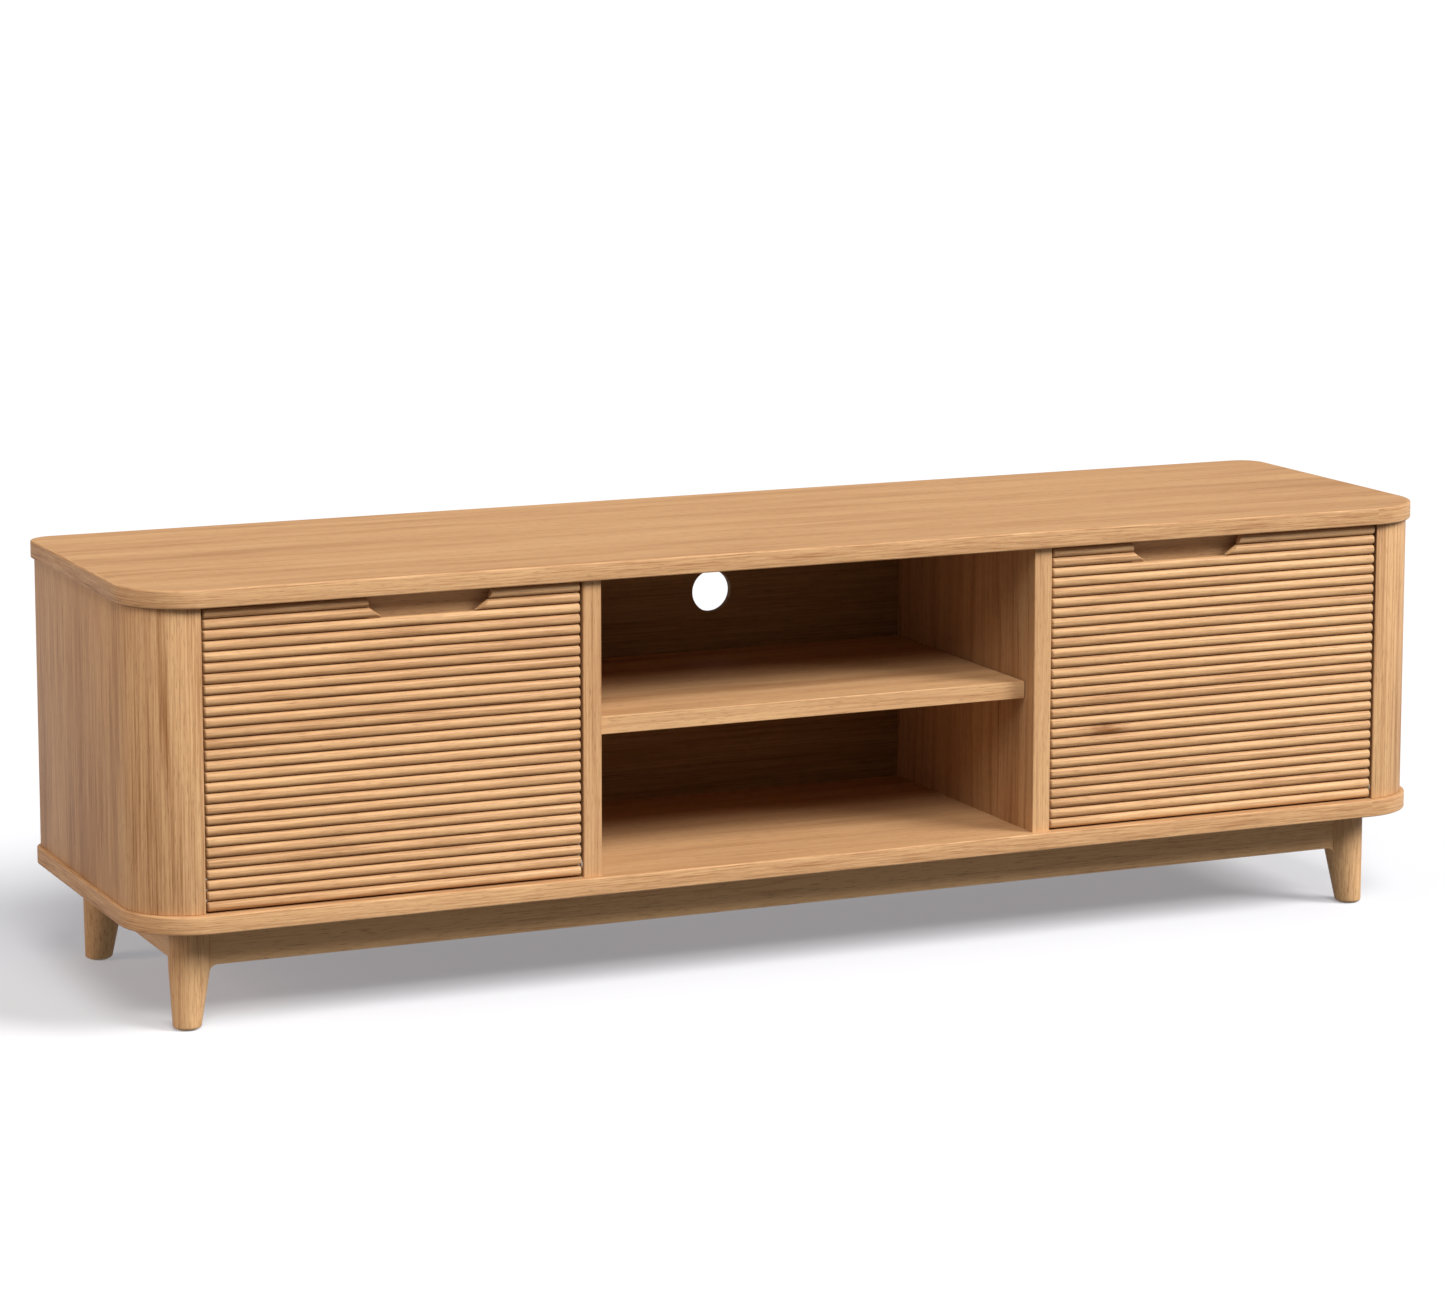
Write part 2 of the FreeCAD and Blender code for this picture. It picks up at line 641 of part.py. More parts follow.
def stay_arm():
    """Slotted arm, lying along the line from its pivot to the stud with the flap closed."""
    slot_r = STUD_D / 2 + STUD_SLOT_GAP
    tail = slot_end + slot_r + ARM_END_WALL - ARM_W / 2
    arm = rounded_bar(0, tail, ARM_W / 2)
    arm = arm.cut(rounded_bar(slot_start, slot_end, slot_r))
    pivot = V(arm_x - PAST, arm_pivot_y, arm_pivot_z)
    arm = arm.cut(rod(pivot, pivot + V(ARM_T + 2 * PAST, 0, 0), RIVET_D / 2 + PIVOT_RUN_FIT))
    arm.rotate(V(0, arm_pivot_y, arm_pivot_z), V(1, 0, 0), arm_angle)
    return arm


def stay_bracket():
    """Angle bracket on the flap's rear face; its ear carries the arm."""
    ear_end = bracket_x + BRACKET_T
    ear = box(bracket_x, ear_end, board_rear, arm_pivot_y,
              arm_pivot_z - BRACKET_EAR_R, arm_pivot_z + BRACKET_EAR_R)
    ear_nose = rod(V(bracket_x, arm_pivot_y, arm_pivot_z), V(ear_end, arm_pivot_y, arm_pivot_z),
                   BRACKET_EAR_R)
    flange = box(bracket_x, bracket_x + BRACKET_FLANGE_W, board_rear, board_rear + BRACKET_T,
                 arm_pivot_z - BRACKET_FLANGE_H / 2, arm_pivot_z + BRACKET_FLANGE_H / 2)
    return cut_by(fused([ear, ear_nose, flange]), bracket_screw_holes + [rivet_shank()])


def rivet_shank():
    """Plain part of the rivet through the arm and the ear."""
    return rod(V(arm_x - STAY_LAYER_GAP, arm_pivot_y, arm_pivot_z),
               V(bracket_x + BRACKET_T, arm_pivot_y, arm_pivot_z), RIVET_D / 2)


def arm_rivet():
    """Rivet that the arm turns on, headed at both ends."""
    shank = rivet_shank()
    heads = []
    for x, way in ((arm_x - STAY_LAYER_GAP, -1), (bracket_x + BRACKET_T, 1)):
        centre = V(x, arm_pivot_y, arm_pivot_z)
        heads.append(rod(centre, centre + V(way * RIVET_HEAD_T, 0, 0), RIVET_HEAD_D / 2))
    return fused([shank] + heads)


plate_corner = STAY_PLATE_SIZE / 3
stay_plate_screws, stay_plate_screw_holes = screws(
    [V(stay_plate_x, stud_y + plate_corner, stud_z + plate_corner),
     V(stay_plate_x, stud_y - plate_corner, stud_z - plate_corner)], V(-1, 0, 0), STAY_SCREW)
bracket_screw_x = bracket_x + BRACKET_T + (BRACKET_FLANGE_W - BRACKET_T) / 2
bracket_screws, bracket_screw_holes = screws(
    [V(bracket_screw_x, board_rear + BRACKET_T, arm_pivot_z + way * BRACKET_FLANGE_H / 4)
     for way in (-1, 1)], V(0, -1, 0), BRACKET_SCREW)


# ---------------------------------------------------------------- magnetic catches
def catch_magnet():
    """Magnet in the front of the catch."""
    mid_z = ceiling_z - CATCH_H / 2
    return box(catch_x - MAGNET_W / 2, catch_x + MAGNET_W / 2, magnet_front,
               magnet_front + MAGNET_DEPTH, mid_z - MAGNET_H / 2, mid_z + MAGNET_H / 2)


def catch_body():
    """Catch housing under the top panel, with the magnet's pocket."""
    body = box(catch_x - CATCH_W / 2, catch_x + CATCH_W / 2, magnet_front,
               magnet_front + CATCH_DEPTH, ceiling_z - CATCH_H, ceiling_z)
    body = eased(body, PIVOT_PLATE_CORNER_R / 2,
                 lambda edge: edge.BoundBox.ZMax < ceiling_z - CATCH_H + TOUCH)
    return cut_by(body, [catch_magnet()] + catch_screw_holes)


def strike_plate():
    """Steel strike on the rear of the flap board."""
    top = flap_top - STRIKE_DROP
    plate = box(catch_x - STRIKE_W / 2, catch_x + STRIKE_W / 2, board_rear,
                board_rear + STRIKE_T, top - STRIKE_H, top)
    return cut_by(plate, strike_screw_holes)


catch_screw_y = magnet_front + (MAGNET_DEPTH + CATCH_DEPTH) / 2
catch_screws, catch_screw_holes = screws(
    [V(catch_x + way * CATCH_W / 3, catch_screw_y, ceiling_z - CATCH_H) for way in (-1, 1)],
    V(0, 0, 1), CATCH_SCREW)
strike_screws, strike_screw_holes = screws(
    [V(catch_x + way * STRIKE_W / 3, board_rear + STRIKE_T, flap_top - STRIKE_DROP - STRIKE_H / 2)
     for way in (-1, 1)], V(0, -1, 0), STRIKE_SCREW)


# ---------------------------------------------------------------- base
class Corner:
    """One corner of the base: its leg's upper centre, and which way is out along X and Y."""

    def __init__(self, name, out_x, out_y):
        self.name = name
        self.out_x = out_x
        self.out_y = out_y
        self.x = out_x * leg_x
        self.y = leg_front_y if out_y < 0 else leg_rear_y
        self.inward = V(-out_x, -out_y, 0).normalize()

    def leg_body(self, grown=0.0):
        """Round leg, upright outside and tapered towards the cabinet's middle."""
        shift = (LEG_TOP_R - LEG_FOOT_R) / math.sqrt(2)
        foot_x = self.x + self.out_x * shift
        foot_y = self.y + self.out_y * shift
        upper = V(self.x, self.y, apron_z)
        sections = [
            (V(foot_x, foot_y, leg_bottom_z), LEG_FOOT_R - LEG_FOOT_EASE),
            (V(foot_x, foot_y, leg_bottom_z + LEG_FOOT_EASE / 4), LEG_FOOT_R - LEG_FOOT_EASE / 3),
            (V(foot_x, foot_y, leg_bottom_z + LEG_FOOT_EASE), LEG_FOOT_R),
            (upper, LEG_TOP_R),
        ]
        wires = []
        for centre, radius in sections:
            wires.append(Part.Wire(Part.makeCircle(radius + grown, centre)))
        taper = Part.makeLoft(wires, True, True)
        head = rod(upper, V(self.x, self.y, UNDERSIDE), LEG_TOP_R + grown)
        return taper.fuse(head)

    def foot(self):
        """Centre of the leg's foot on the floor."""
        shift = (LEG_TOP_R - LEG_FOOT_R) / math.sqrt(2)
        return V(self.x + self.out_x * shift, self.y + self.out_y * shift, 0)

    def glide(self, grown=0.0):
        """Nylon glide, half buried in the foot."""
        foot = self.foot()
        return rod(foot, foot + V(0, 0, GLIDE_T + grown), GLIDE_D / 2 + grown)

    def tenon(self, along_front, grown=0.0, spare=0.0):
        """Loose tenon between the leg and the front or rear apron, or the side apron."""
        start = TENON_LEG_START - spare
        end = LEG_TOP_R + TENON_IN_APRON + spare
        mid = APRON_FACE - APRON_T / 2
        low = mid - TENON_T / 2 - grown
        high = mid + TENON_T / 2 + grown
        z0 = tenon_z - TENON_W / 2 - grown
        z1 = tenon_z + TENON_W / 2 + grown
        if along_front:
            return box(self.x - self.out_x * start, self.x - self.out_x * end,
                       self.y + self.out_y * low, self.y + self.out_y * high, z0, z1)
        return box(self.x + self.out_x * low, self.x + self.out_x * high,
                   self.y - self.out_y * start, self.y - self.out_y * end, z0, z1)

    def bolt_rod(self, start, end, radius):
        """Cylinder on the hanger bolt's axis, between two distances from the leg's centre."""
        centre = V(self.x, self.y, block_z + BLOCK_H / 2)
        return rod(centre + self.inward * start, centre + self.inward * end, radius)

    def apron_corner(self):
        """Inside corner of the two aprons."""
        inner = APRON_T - APRON_FACE
        return V(self.x - self.out_x * inner, self.y - self.out_y * inner, 0)

    def block_face(self):
        """Distance from the leg's centre to the corner block's slanting face."""
        corner = self.apron_corner()
        offset = V(corner.x - self.x, corner.y - self.y, 0)
        return offset.dot(self.inward) + BLOCK_LEG / math.sqrt(2)

    def block(self):
        """Corner block behind the leg, cut back round it and drilled."""
        corner = self.apron_corner()
        points = [
            V(corner.x, corner.y, block_z),
            V(corner.x - self.out_x * BLOCK_LEG, corner.y, block_z),
            V(corner.x, corner.y - self.out_y * BLOCK_LEG, block_z),
        ]
        wedge = Part.Face(Part.makePolygon(points + points[:1])).extrude(V(0, 0, BLOCK_H))
        clear = rod(V(self.x, self.y, block_z - PAST), V(self.x, self.y, UNDERSIDE + PAST),
                    LEG_TOP_R + BLOCK_LEG_GAP)
        bolt_hole = self.bolt_rod(0, 2 * BLOCK_LEG, HANGER_HOLE_D / 2)
        return cut_by(wedge, [clear, bolt_hole] + block_screw_holes).Solids[0]

    def block_screw_places(self):
        """Heads of the two screws that go up through the block."""
        corner = self.apron_corner()
        places = []
        for x, y in ((BLOCK_SCREW_FAR, BLOCK_SCREW_NEAR), (BLOCK_SCREW_NEAR, BLOCK_SCREW_FAR)):
            places.append(V(corner.x - self.out_x * x, corner.y - self.out_y * y, block_z))
        return places

    def washer(self):
        """Washer under the hanger bolt's nut."""
        face = self.block_face()
        disc = self.bolt_rod(face, face + HANGER_WASHER_T, HANGER_WASHER_D / 2)
        return disc.cut(self.bolt_rod(face - PAST, face + HANGER_WASHER_T + PAST, HANGER_HOLE_D / 2))

    def nut(self):
        """Hexagon nut on the hanger bolt."""
        start = self.block_face() + HANGER_WASHER_T
        radius = HANGER_NUT_AF / math.sqrt(3)
        points = []
        for side in range(7):
            angle = math.radians(60 * side)
            points.append(V(radius * math.cos(angle), radius * math.sin(angle), 0))
        nut = Part.Face(Part.makePolygon(points)).extrude(V(0, 0, HANGER_NUT_T))
        centre = V(self.x, self.y, block_z + BLOCK_H / 2) + self.inward * start
        nut.Placement = FreeCAD.Placement(centre, FreeCAD.Rotation(V(0, 0, 1), self.inward))
        return nut.cut(self.bolt_rod(start - PAST, start + HANGER_NUT_T + PAST, HANGER_D / 2))

    def hanger_bolt(self):
        """Hanger bolt from the leg out through the block."""
        start = LEG_TOP_R - HANGER_IN_LEG
        return self.bolt_rod(start, self.block_face() + HANGER_OUT, HANGER_D / 2)

    def leg(self):
        """Leg with its mortises, bolt hole and glide recess."""
        tools = [
            self.tenon(True, TENON_FIT, TENON_END_GAP),
            self.tenon(False, TENON_FIT, TENON_END_GAP),
            self.bolt_rod(LEG_TOP_R - HANGER_IN_LEG - PAST, 2 * LEG_TOP_R, HANGER_D / 2 + SCREW_FIT),
            self.glide(GLIDE_FIT),
        ]
        return cut_by(self.leg_body(), tools)


def rail_tenon(y_face, way, grown=0.0, spare=0.0):
    """Loose tenon between a cross rail and an apron's inner face at y_face."""
    half = TENON_T / 2 + grown
    mid_z = UNDERSIDE - RAIL_H / 2
    return box(rail_x - half, rail_x + half, y_face - way * (TENON_IN_FACE + spare),
               y_face + way * (TENON_IN_APRON + spare),
               mid_z - TENON_W / 2 - grown, mid_z + TENON_W / 2 + grown)


corners = [
    Corner("front_right_leg", 1, -1),
    Corner("front_left_leg", -1, -1),
    Corner("rear_right_leg", 1, 1),
    Corner("rear_left_leg", -1, 1),
]
block_screw_places = [place for corner in corners for place in corner.block_screw_places()]
block_screws, block_screw_holes = screws(block_screw_places, V(0, 0, 1), BLOCK_SCREW)
rail_front = apron_front_y + APRON_T
rail_rear = apron_rear_y - APRON_T
tenons = [corner.tenon(way) for corner in corners for way in (True, False)]
tenons += both_sides([rail_tenon(rail_front, 1), rail_tenon(rail_rear, -1)])
mortises = [corner.tenon(way, TENON_FIT, TENON_END_GAP) for corner in corners for way in (True, False)]
mortises += both_sides([rail_tenon(rail_front, 1, TENON_FIT, TENON_END_GAP),
                        rail_tenon(rail_rear, -1, TENON_FIT, TENON_END_GAP)])
leg_spaces = [corner.leg_body(APRON_LEG_FIT) for corner in corners]


def apron_profile(start, end):
    """Side view of an apron between two leg centres: its lower edge curves down into each leg."""
    radius = APRON_FILLET_R
    low = apron_z - radius
    leg_reach = LEG_TOP_R - APRON_FILLET_IN_LEG
    edges = []
    for centre, way in ((start, 1), (end, -1)):
        inner = centre + way * leg_reach
        rise = radius * (1 - math.sqrt(0.5))
        across = inner + way * rise
        edges.append(Part.Arc(V(inner, 0, low), V(across, 0, apron_z - rise),
                              V(inner + way * radius, 0, apron_z)).toShape())
    left, right = edges
    outline = [
        left,
        Part.makeLine(V(start + leg_reach + radius, 0, apron_z),
                      V(end - leg_reach - radius, 0, apron_z)),
        right,
        Part.makeLine(V(end - leg_reach, 0, low), V(end, 0, low)),
        Part.makeLine(V(end, 0, low), V(end, 0, UNDERSIDE)),
        Part.makeLine(V(end, 0, UNDERSIDE), V(start, 0, UNDERSIDE)),
        Part.makeLine(V(start, 0, UNDERSIDE), V(start, 0, low)),
        Part.makeLine(V(start, 0, low), V(start + leg_reach, 0, low)),
    ]
    return Part.Face(Part.Wire(Part.__sortEdges__(outline)))


def fitted_apron(apron):
    """Apron hollowed to the legs at its ends and mortised."""
    whole = cut_by(apron, leg_spaces + mortises)
    return max(whole.Solids, key=lambda solid: solid.Volume)


def long_apron(face_y, inward):
    """Front or rear apron, from its outer face inwards."""
    apron = apron_profile(-leg_x, leg_x).extrude(V(0, inward * APRON_T, 0))
    apron.translate(V(0, face_y, 0))
    return fitted_apron(apron)


def side_apron():
    """Right-hand apron."""
    apron = apron_profile(leg_front_y, leg_rear_y).extrude(V(0, APRON_T, 0))
    apron.rotate(V(0, 0, 0), V(0, 0, 1), 90)
    apron.translate(V(apron_face_x, 0, 0))
    return fitted_apron(apron)


def cross_rail():
    """Rail under the right-hand divider, between the long aprons."""
    rail = box(rail_x - RAIL_T / 2, rail_x + RAIL_T / 2, rail_front, rail_rear,
               UNDERSIDE - RAIL_H, UNDERSIDE)
    return cut_by(rail, mortises)


# ---------------------------------------------------------------- everything, by node
nodes = {
    "top_panel": [cut_by(panel(ceiling_z), dowel_holes + [back_groove()]
                         + both_sides(catch_screw_holes))],
    "bottom_panel": [cut_by(panel(UNDERSIDE), dowel_holes + [back_groove()] + block_screw_holes)],
    "middle_shelf": [shelf()],
    "shelf_pins": shelf_pins,
    "centre_back_panel": [centre_back_panel()],
    "carcass_dowels": dowels,
    "flap_pivot_bushes": pivot_bushes,
    "catch_bodies": both_sides([catch_body()]),
    "catch_magnets": both_sides([catch_magnet()]),
    "carcass_fitting_screws": both_sides(stay_plate_screws + catch_screws),
    "front_apron": [long_apron(apron_front_y, 1)],
    "rear_apron": [long_apron(apron_rear_y, -1)],
    "base_tenons": tenons,
    "corner_blocks": [corner.block() for corner in corners],
    "corner_block_screws": block_screws,
    "hanger_bolts": [corner.hanger_bolt() for corner in corners],
    "hanger_nuts": [corner.nut() for corner in corners] + [corner.washer() for corner in corners],
    "leg_glides": [corner.glide() for corner in corners],
}
for corner in corners:
    nodes[corner.name] = [corner.leg()]

sided = {
    "side_panel": [side_panel()],
    "front_post": [front_post()],
    "rear_post": [rear_post()],
    "divider": [divider()],
    "back_panel": [back_panel(divider_out - GROOVE_DEPTH, groove_half)],
    "side_apron": [side_apron()],
    "cross_rail": [cross_rail()],
    "stay_plate": [stay_plate()],
    "guide_stud": [guide_stud()],
    "flap_board": [flap_board()],
    "flap_ribs": flap_ribs(),
    "pivot_plates": [pivot_plate(flap_in, 1), pivot_plate(flap_out, -1)],
    "pivot_pins": [pivot_pin(flap_in, 1), pivot_pin(flap_out, -1)],
    "stay_bracket": [stay_bracket()],
    "arm_rivet": [arm_rivet()],
    "strike_plate": [strike_plate()],
    "flap_screws": plate_screws + bracket_screws + strike_screws,
    "stay_arm": [stay_arm()],
}
for name, shapes in sided.items():
    nodes["right_" + name] = shapes
    nodes["left_" + name] = [mirrored(shape) for shape in shapes]

os.makedirs("parts", exist_ok=True)
for name, shapes in nodes.items():
    solids = [solid for shape in shapes for solid in shape.Solids]
    whole = solids[0] if len(solids) == 1 else Part.makeCompound(solids)
    whole.exportStep("parts/" + name + ".step")
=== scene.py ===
"""Looks of the media cabinet: lacquered oak panels, ribbed flaps, turned legs and its fittings.

Laid out as an add-on and run as a script. Metres, +Z up, the front faces -Y. Places and sizes
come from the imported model, which is the frame.
"""
import math

import bmesh
import bpy
import numpy as np
from mathutils import Matrix, Vector


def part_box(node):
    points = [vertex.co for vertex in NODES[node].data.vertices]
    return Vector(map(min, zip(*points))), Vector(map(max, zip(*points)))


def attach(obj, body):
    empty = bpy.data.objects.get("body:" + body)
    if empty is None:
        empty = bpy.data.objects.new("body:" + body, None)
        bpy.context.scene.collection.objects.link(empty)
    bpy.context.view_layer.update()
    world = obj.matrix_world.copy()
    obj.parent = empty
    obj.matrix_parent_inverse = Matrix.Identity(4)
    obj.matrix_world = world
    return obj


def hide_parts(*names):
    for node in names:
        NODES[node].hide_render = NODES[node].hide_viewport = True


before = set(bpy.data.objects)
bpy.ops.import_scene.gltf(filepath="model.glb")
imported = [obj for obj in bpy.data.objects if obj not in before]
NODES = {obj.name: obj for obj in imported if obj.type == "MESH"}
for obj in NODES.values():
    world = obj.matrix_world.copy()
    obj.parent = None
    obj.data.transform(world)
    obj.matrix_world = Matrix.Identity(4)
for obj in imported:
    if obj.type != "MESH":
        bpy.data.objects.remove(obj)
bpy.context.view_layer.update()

bl_info = {
    "name": "Media cabinet",
    "version": (1, 0, 0),
    "blender": (4, 5, 0),
    "location": "3D View > Sidebar > Cabinet",
    "description": "Builds the visible surfaces, finishes and stage of a ribbed oak media cabinet",
    "category": "Object",
}

MM = 0.001
SIDES = ("left", "right")
LEGS = ("front_left_leg", "front_right_leg", "rear_left_leg", "rear_right_leg")


# ---------------------------------------------------------------- sizes read from the frame
def low(node, axis):
    """Lowest value of a node on an axis, 0 to 2."""
    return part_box(node)[0][axis]


def high(node, axis):
    """Highest value of a node on an axis, 0 to 2."""
    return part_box(node)[1][axis]


def linear(code):
    """Linear colour with alpha from an sRGB hex code."""
    channels = []
    for start in (1, 3, 5):
        value = int(code[start:start + 2], 16) / 255
        channels.append(value / 12.92 if value <= 0.04045 else ((value + 0.055) / 1.055) ** 2.4)
    return (*channels, 1.0)


# ---------------------------------------------------------------- settings
def colour(name, description, code):
    """Colour property with its default given as an sRGB hex code."""
    return bpy.props.FloatVectorProperty(
        name=name, description=description, subtype="COLOR", size=4, min=0, max=1,
        default=linear(code))


def length(name, description, default):
    """Length property in metres."""
    return bpy.props.FloatProperty(
        name=name, description=description, default=default, min=0, unit="LENGTH")


class CabinetShape(bpy.types.PropertyGroup):
    """Sizes of the visible surfaces that the frame leaves open."""
    panel_corner_front: length("Front corner radius", "Radius of the panels' front corners",
                               80 * MM)
    panel_corner_rear: length("Rear corner radius", "Radius of the panels' rear corners", 30 * MM)
    panel_arris: length("Panel arris", "Rounding of the panels' edges", 1.8 * MM)
    edge_band: length("Edge band", "Width of the solid edging seen on the panels' faces", 2.2 * MM)
    board_ease: length("Board ease", "Rounding of the boards' ends", 0.9 * MM)
    post_ease: length("Post ease", "Rounding of the posts' long edges", 1.2 * MM)
    rib_end: length("Batten end", "Length of the rounding at a batten's end", 2.4 * MM)
    rib_gap: length("Batten gap", "Gap between neighbouring battens", 1.2 * MM)
    rib_pitch: length("Batten pitch", "About how far apart the battens are", 11.75 * MM)
    rib_crest: length("Batten crest", "Depth of a batten's rounded front", 5 * MM)
    rib_flat: bpy.props.FloatProperty(
        name="Batten fullness", default=2.15, min=1.5, max=6,
        description="Exponent of a batten's rounded section: 2 is an ellipse, more is fuller")
    pull_width: length("Finger pull width", "Width of the finger pull along the flap's edge",
                       143 * MM)
    pull_offset: length("Finger pull offset", "From the flap's middle towards the bay", 40 * MM)
    leg_radius: length("Leg radius", "Radius of a leg's upper part", 23 * MM)
    foot_radius: length("Foot radius", "Radius of a leg's foot", 15.4 * MM)
    foot_ease: length("Foot ease", "Rounding of a foot's lower edge", 3 * MM)
    apron_bend: length("Apron curve", "Radius of an apron's lower edge at a leg", 9 * MM)


class CabinetFinish(bpy.types.PropertyGroup):
    """Colours and finish of the cabinet's materials."""
    oak_light: colour("Oak, light", "Earlywood between the grain lines", "#d1a778")
    oak_mid: colour("Oak, middle", "Body colour of the lacquered oak", "#bd9166")
    oak_dark: colour("Oak, dark", "Latewood lines", "#8c5d34")
    oak_pore: colour("Oak, pores", "Open pores, darkened by the lacquer", "#6b4423")
    beech: colour("Beech", "Rails, blocks and dowels under the cabinet", "#c9a07c")
    nickel: colour("Nickel plate", "Stays, plates and pins", "#c8c4ba")
    zinc: colour("Zinc plate", "Screws, bolts and nuts", "#b9bec4")
    nylon: colour("Nylon", "Bushes and glides", "#e6e1d3")
    plastic: colour("ABS", "Catch housings", "#6b4c33")
    ferrite: colour("Ferrite", "Catch magnets", "#2a2a2c")
    gloss: bpy.props.FloatProperty(
        name="Lacquer roughness", description="Roughness of the satin lacquer",
        default=0.5, min=0, max=1, subtype="FACTOR")


class CabinetStage(bpy.types.PropertyGroup):
    """Floor, light and camera."""
    floor: colour("Floor", "Plain pale floor", "#cecece")
    floor_glow: bpy.props.FloatProperty(
        name="Floor glow", description="Light of the floor itself, which keeps its shadows pale",
        default=0.27, min=0)
    sky: colour("Surroundings", "Light from all round", "#ffffff")
    sky_strength: bpy.props.FloatProperty(
        name="Surrounding light", description="Strength of the even light", default=0.20, min=0)
    key_strength: bpy.props.FloatProperty(
        name="Key light", description="Strength of the large soft lamp", default=3.3, min=0)
    key_angle: bpy.props.FloatProperty(
        name="Key softness", description="Angle that the lamp fills, seen from the cabinet",
        default=math.radians(28), min=0, subtype="ANGLE")
    key_direction: bpy.props.FloatVectorProperty(
        name="Key direction", description="From the cabinet towards the lamp", size=3,
        default=(0.60, -0.54, 0.59), subtype="DIRECTION")
    front_strength: bpy.props.FloatProperty(
        name="Front light", description="Strength of the lamp in front", default=2.0, min=0)
    front_direction: bpy.props.FloatVectorProperty(
        name="Front direction", description="From the cabinet towards the lamp in front", size=3,
        default=(-0.12, -0.68, 0.72), subtype="DIRECTION")
    fill_strength: bpy.props.FloatProperty(
        name="Fill light", description="Strength of the weak lamp at the left",
        default=1.05, min=0)
    fill_tint: colour("Fill tint", "Warm light reflected from the left", "#ffe6d6")
    fill_direction: bpy.props.FloatVectorProperty(
        name="Fill direction", description="From the cabinet towards the weak lamp", size=3,
        default=(-0.93, 0.0, 0.36), subtype="DIRECTION")


# ---------------------------------------------------------------- meshes from grids of points
def grid_faces(rows, columns, closed, first):
    """Quads between neighbouring points of a grid, numbered from first.

    closed joins the last column to the first, for a profile that runs right round.
    """
    across = columns if closed else columns - 1
    row, column = np.meshgrid(np.arange(rows - 1), np.arange(across), indexing="ij")
    following = (column + 1) % columns
    corners = np.stack([row * columns + column, (row + 1) * columns + column,
                        (row + 1) * columns + following, row * columns + following], axis=-1)
    return corners.reshape(-1, 4) + first


def build(name, grids, caps=(), sharp=35):
    """Mesh object from grids (points, grain coordinates, closed) and flat caps (points, grain).

    Points that meet are merged, faces are turned outwards, and edges over sharp degrees are
    kept crisp. Grain coordinates are metres along and across the grain, in a UV map.
    """
    points, grain, faces = [], [], []
    count = 0
    for surface, flow, closed in grids:
        rows, columns = surface.shape[:2]
        faces += grid_faces(rows, columns, closed, count).tolist()
        points.append(surface.reshape(-1, 3))
        grain.append(flow.reshape(-1, 2))
        count += rows * columns
    for outline, flow in caps:
        faces.append(list(range(count, count + len(outline))))
        points.append(outline)
        grain.append(flow)
        count += len(outline)
    mesh = bpy.data.meshes.new(name)
    mesh.from_pydata(np.concatenate(points), [], faces)
    corner = np.zeros(len(mesh.loops), np.int32)
    mesh.loops.foreach_get("vertex_index", corner)
    layer = mesh.uv_layers.new(name="grain")
    layer.data.foreach_set("uv", np.concatenate(grain)[corner].astype(np.float32).ravel())
    worked = bmesh.new()
    worked.from_mesh(mesh)
    bmesh.ops.remove_doubles(worked, verts=worked.verts, dist=0.001 * MM)
    bmesh.ops.dissolve_degenerate(worked, edges=worked.edges, dist=0.0005 * MM)
    bmesh.ops.recalc_face_normals(worked, faces=worked.faces)
    worked.to_mesh(mesh)
    worked.free()
    mesh.shade_smooth()
    mesh.set_sharp_from_angle(angle=math.radians(sharp))
    made = bpy.data.objects.new(name, mesh)
    bpy.context.scene.collection.objects.link(made)
    return made


def place(made, body, material, slot, *nodes):
    """Gives a piece its material and body, and hides the nodes that it stands for; slot is not
    used.
    """
    made.data.materials.append(material)
    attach(made, body)
    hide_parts(*nodes)


def quarter(steps):
    """Angles of a quarter turn."""
    return np.linspace(0, math.pi / 2, steps)


# ---------------------------------------------------------------- materials
def add(tree, kind, inputs=None, output=0, **settings):
    """Adds one node, sets its properties, sets or links its inputs, and gives one of its outputs.

    inputs and output go by a socket's name or number.
    """
    node = tree.nodes.new(kind)
    for name, value in settings.items():
        setattr(node, name, value)
    for key, value in (inputs or {}).items():
        if isinstance(value, bpy.types.NodeSocket):
            tree.links.new(value, node.inputs[key])
        else:
            node.inputs[key].default_value = value
    return node.outputs[output] if node.outputs else node


def start_material(name, coordinates="Object", **mapping):
    """Empty node material, its tree, and its pattern's coordinates in mm."""
    material = bpy.data.materials.new(name)
    material.use_nodes = True
    tree = material.node_tree
    tree.nodes.clear()
    where = add(tree, "ShaderNodeTexCoord", output=coordinates)
    placed = add(tree, "ShaderNodeMapping", {"Vector": where, "Scale": (1 / MM,) * 3, **mapping})
    return material, tree, placed


def stretched(tree, placed, along, across, detail=2.0, roughness=0.5):
    """Noise drawn out along the grain: along and across are the size of its marks in mm."""
    scaled = add(tree, "ShaderNodeVectorMath",
                 {0: placed, 1: (1 / along, 1 / across, 1 / across)}, operation="MULTIPLY")
    return add(tree, "ShaderNodeTexNoise", {"Vector": scaled, "Scale": 1.0, "Detail": detail,
                                            "Roughness": roughness}, output="Fac")


TURN_TO_X = {"X": (0, 0, 0), "Y": (0, 0, -math.pi / 2), "Z": (0, math.pi / 2, 0)}
MIDDLE_TONE = 0.42           # where the oak's body colour lies between its light and dark


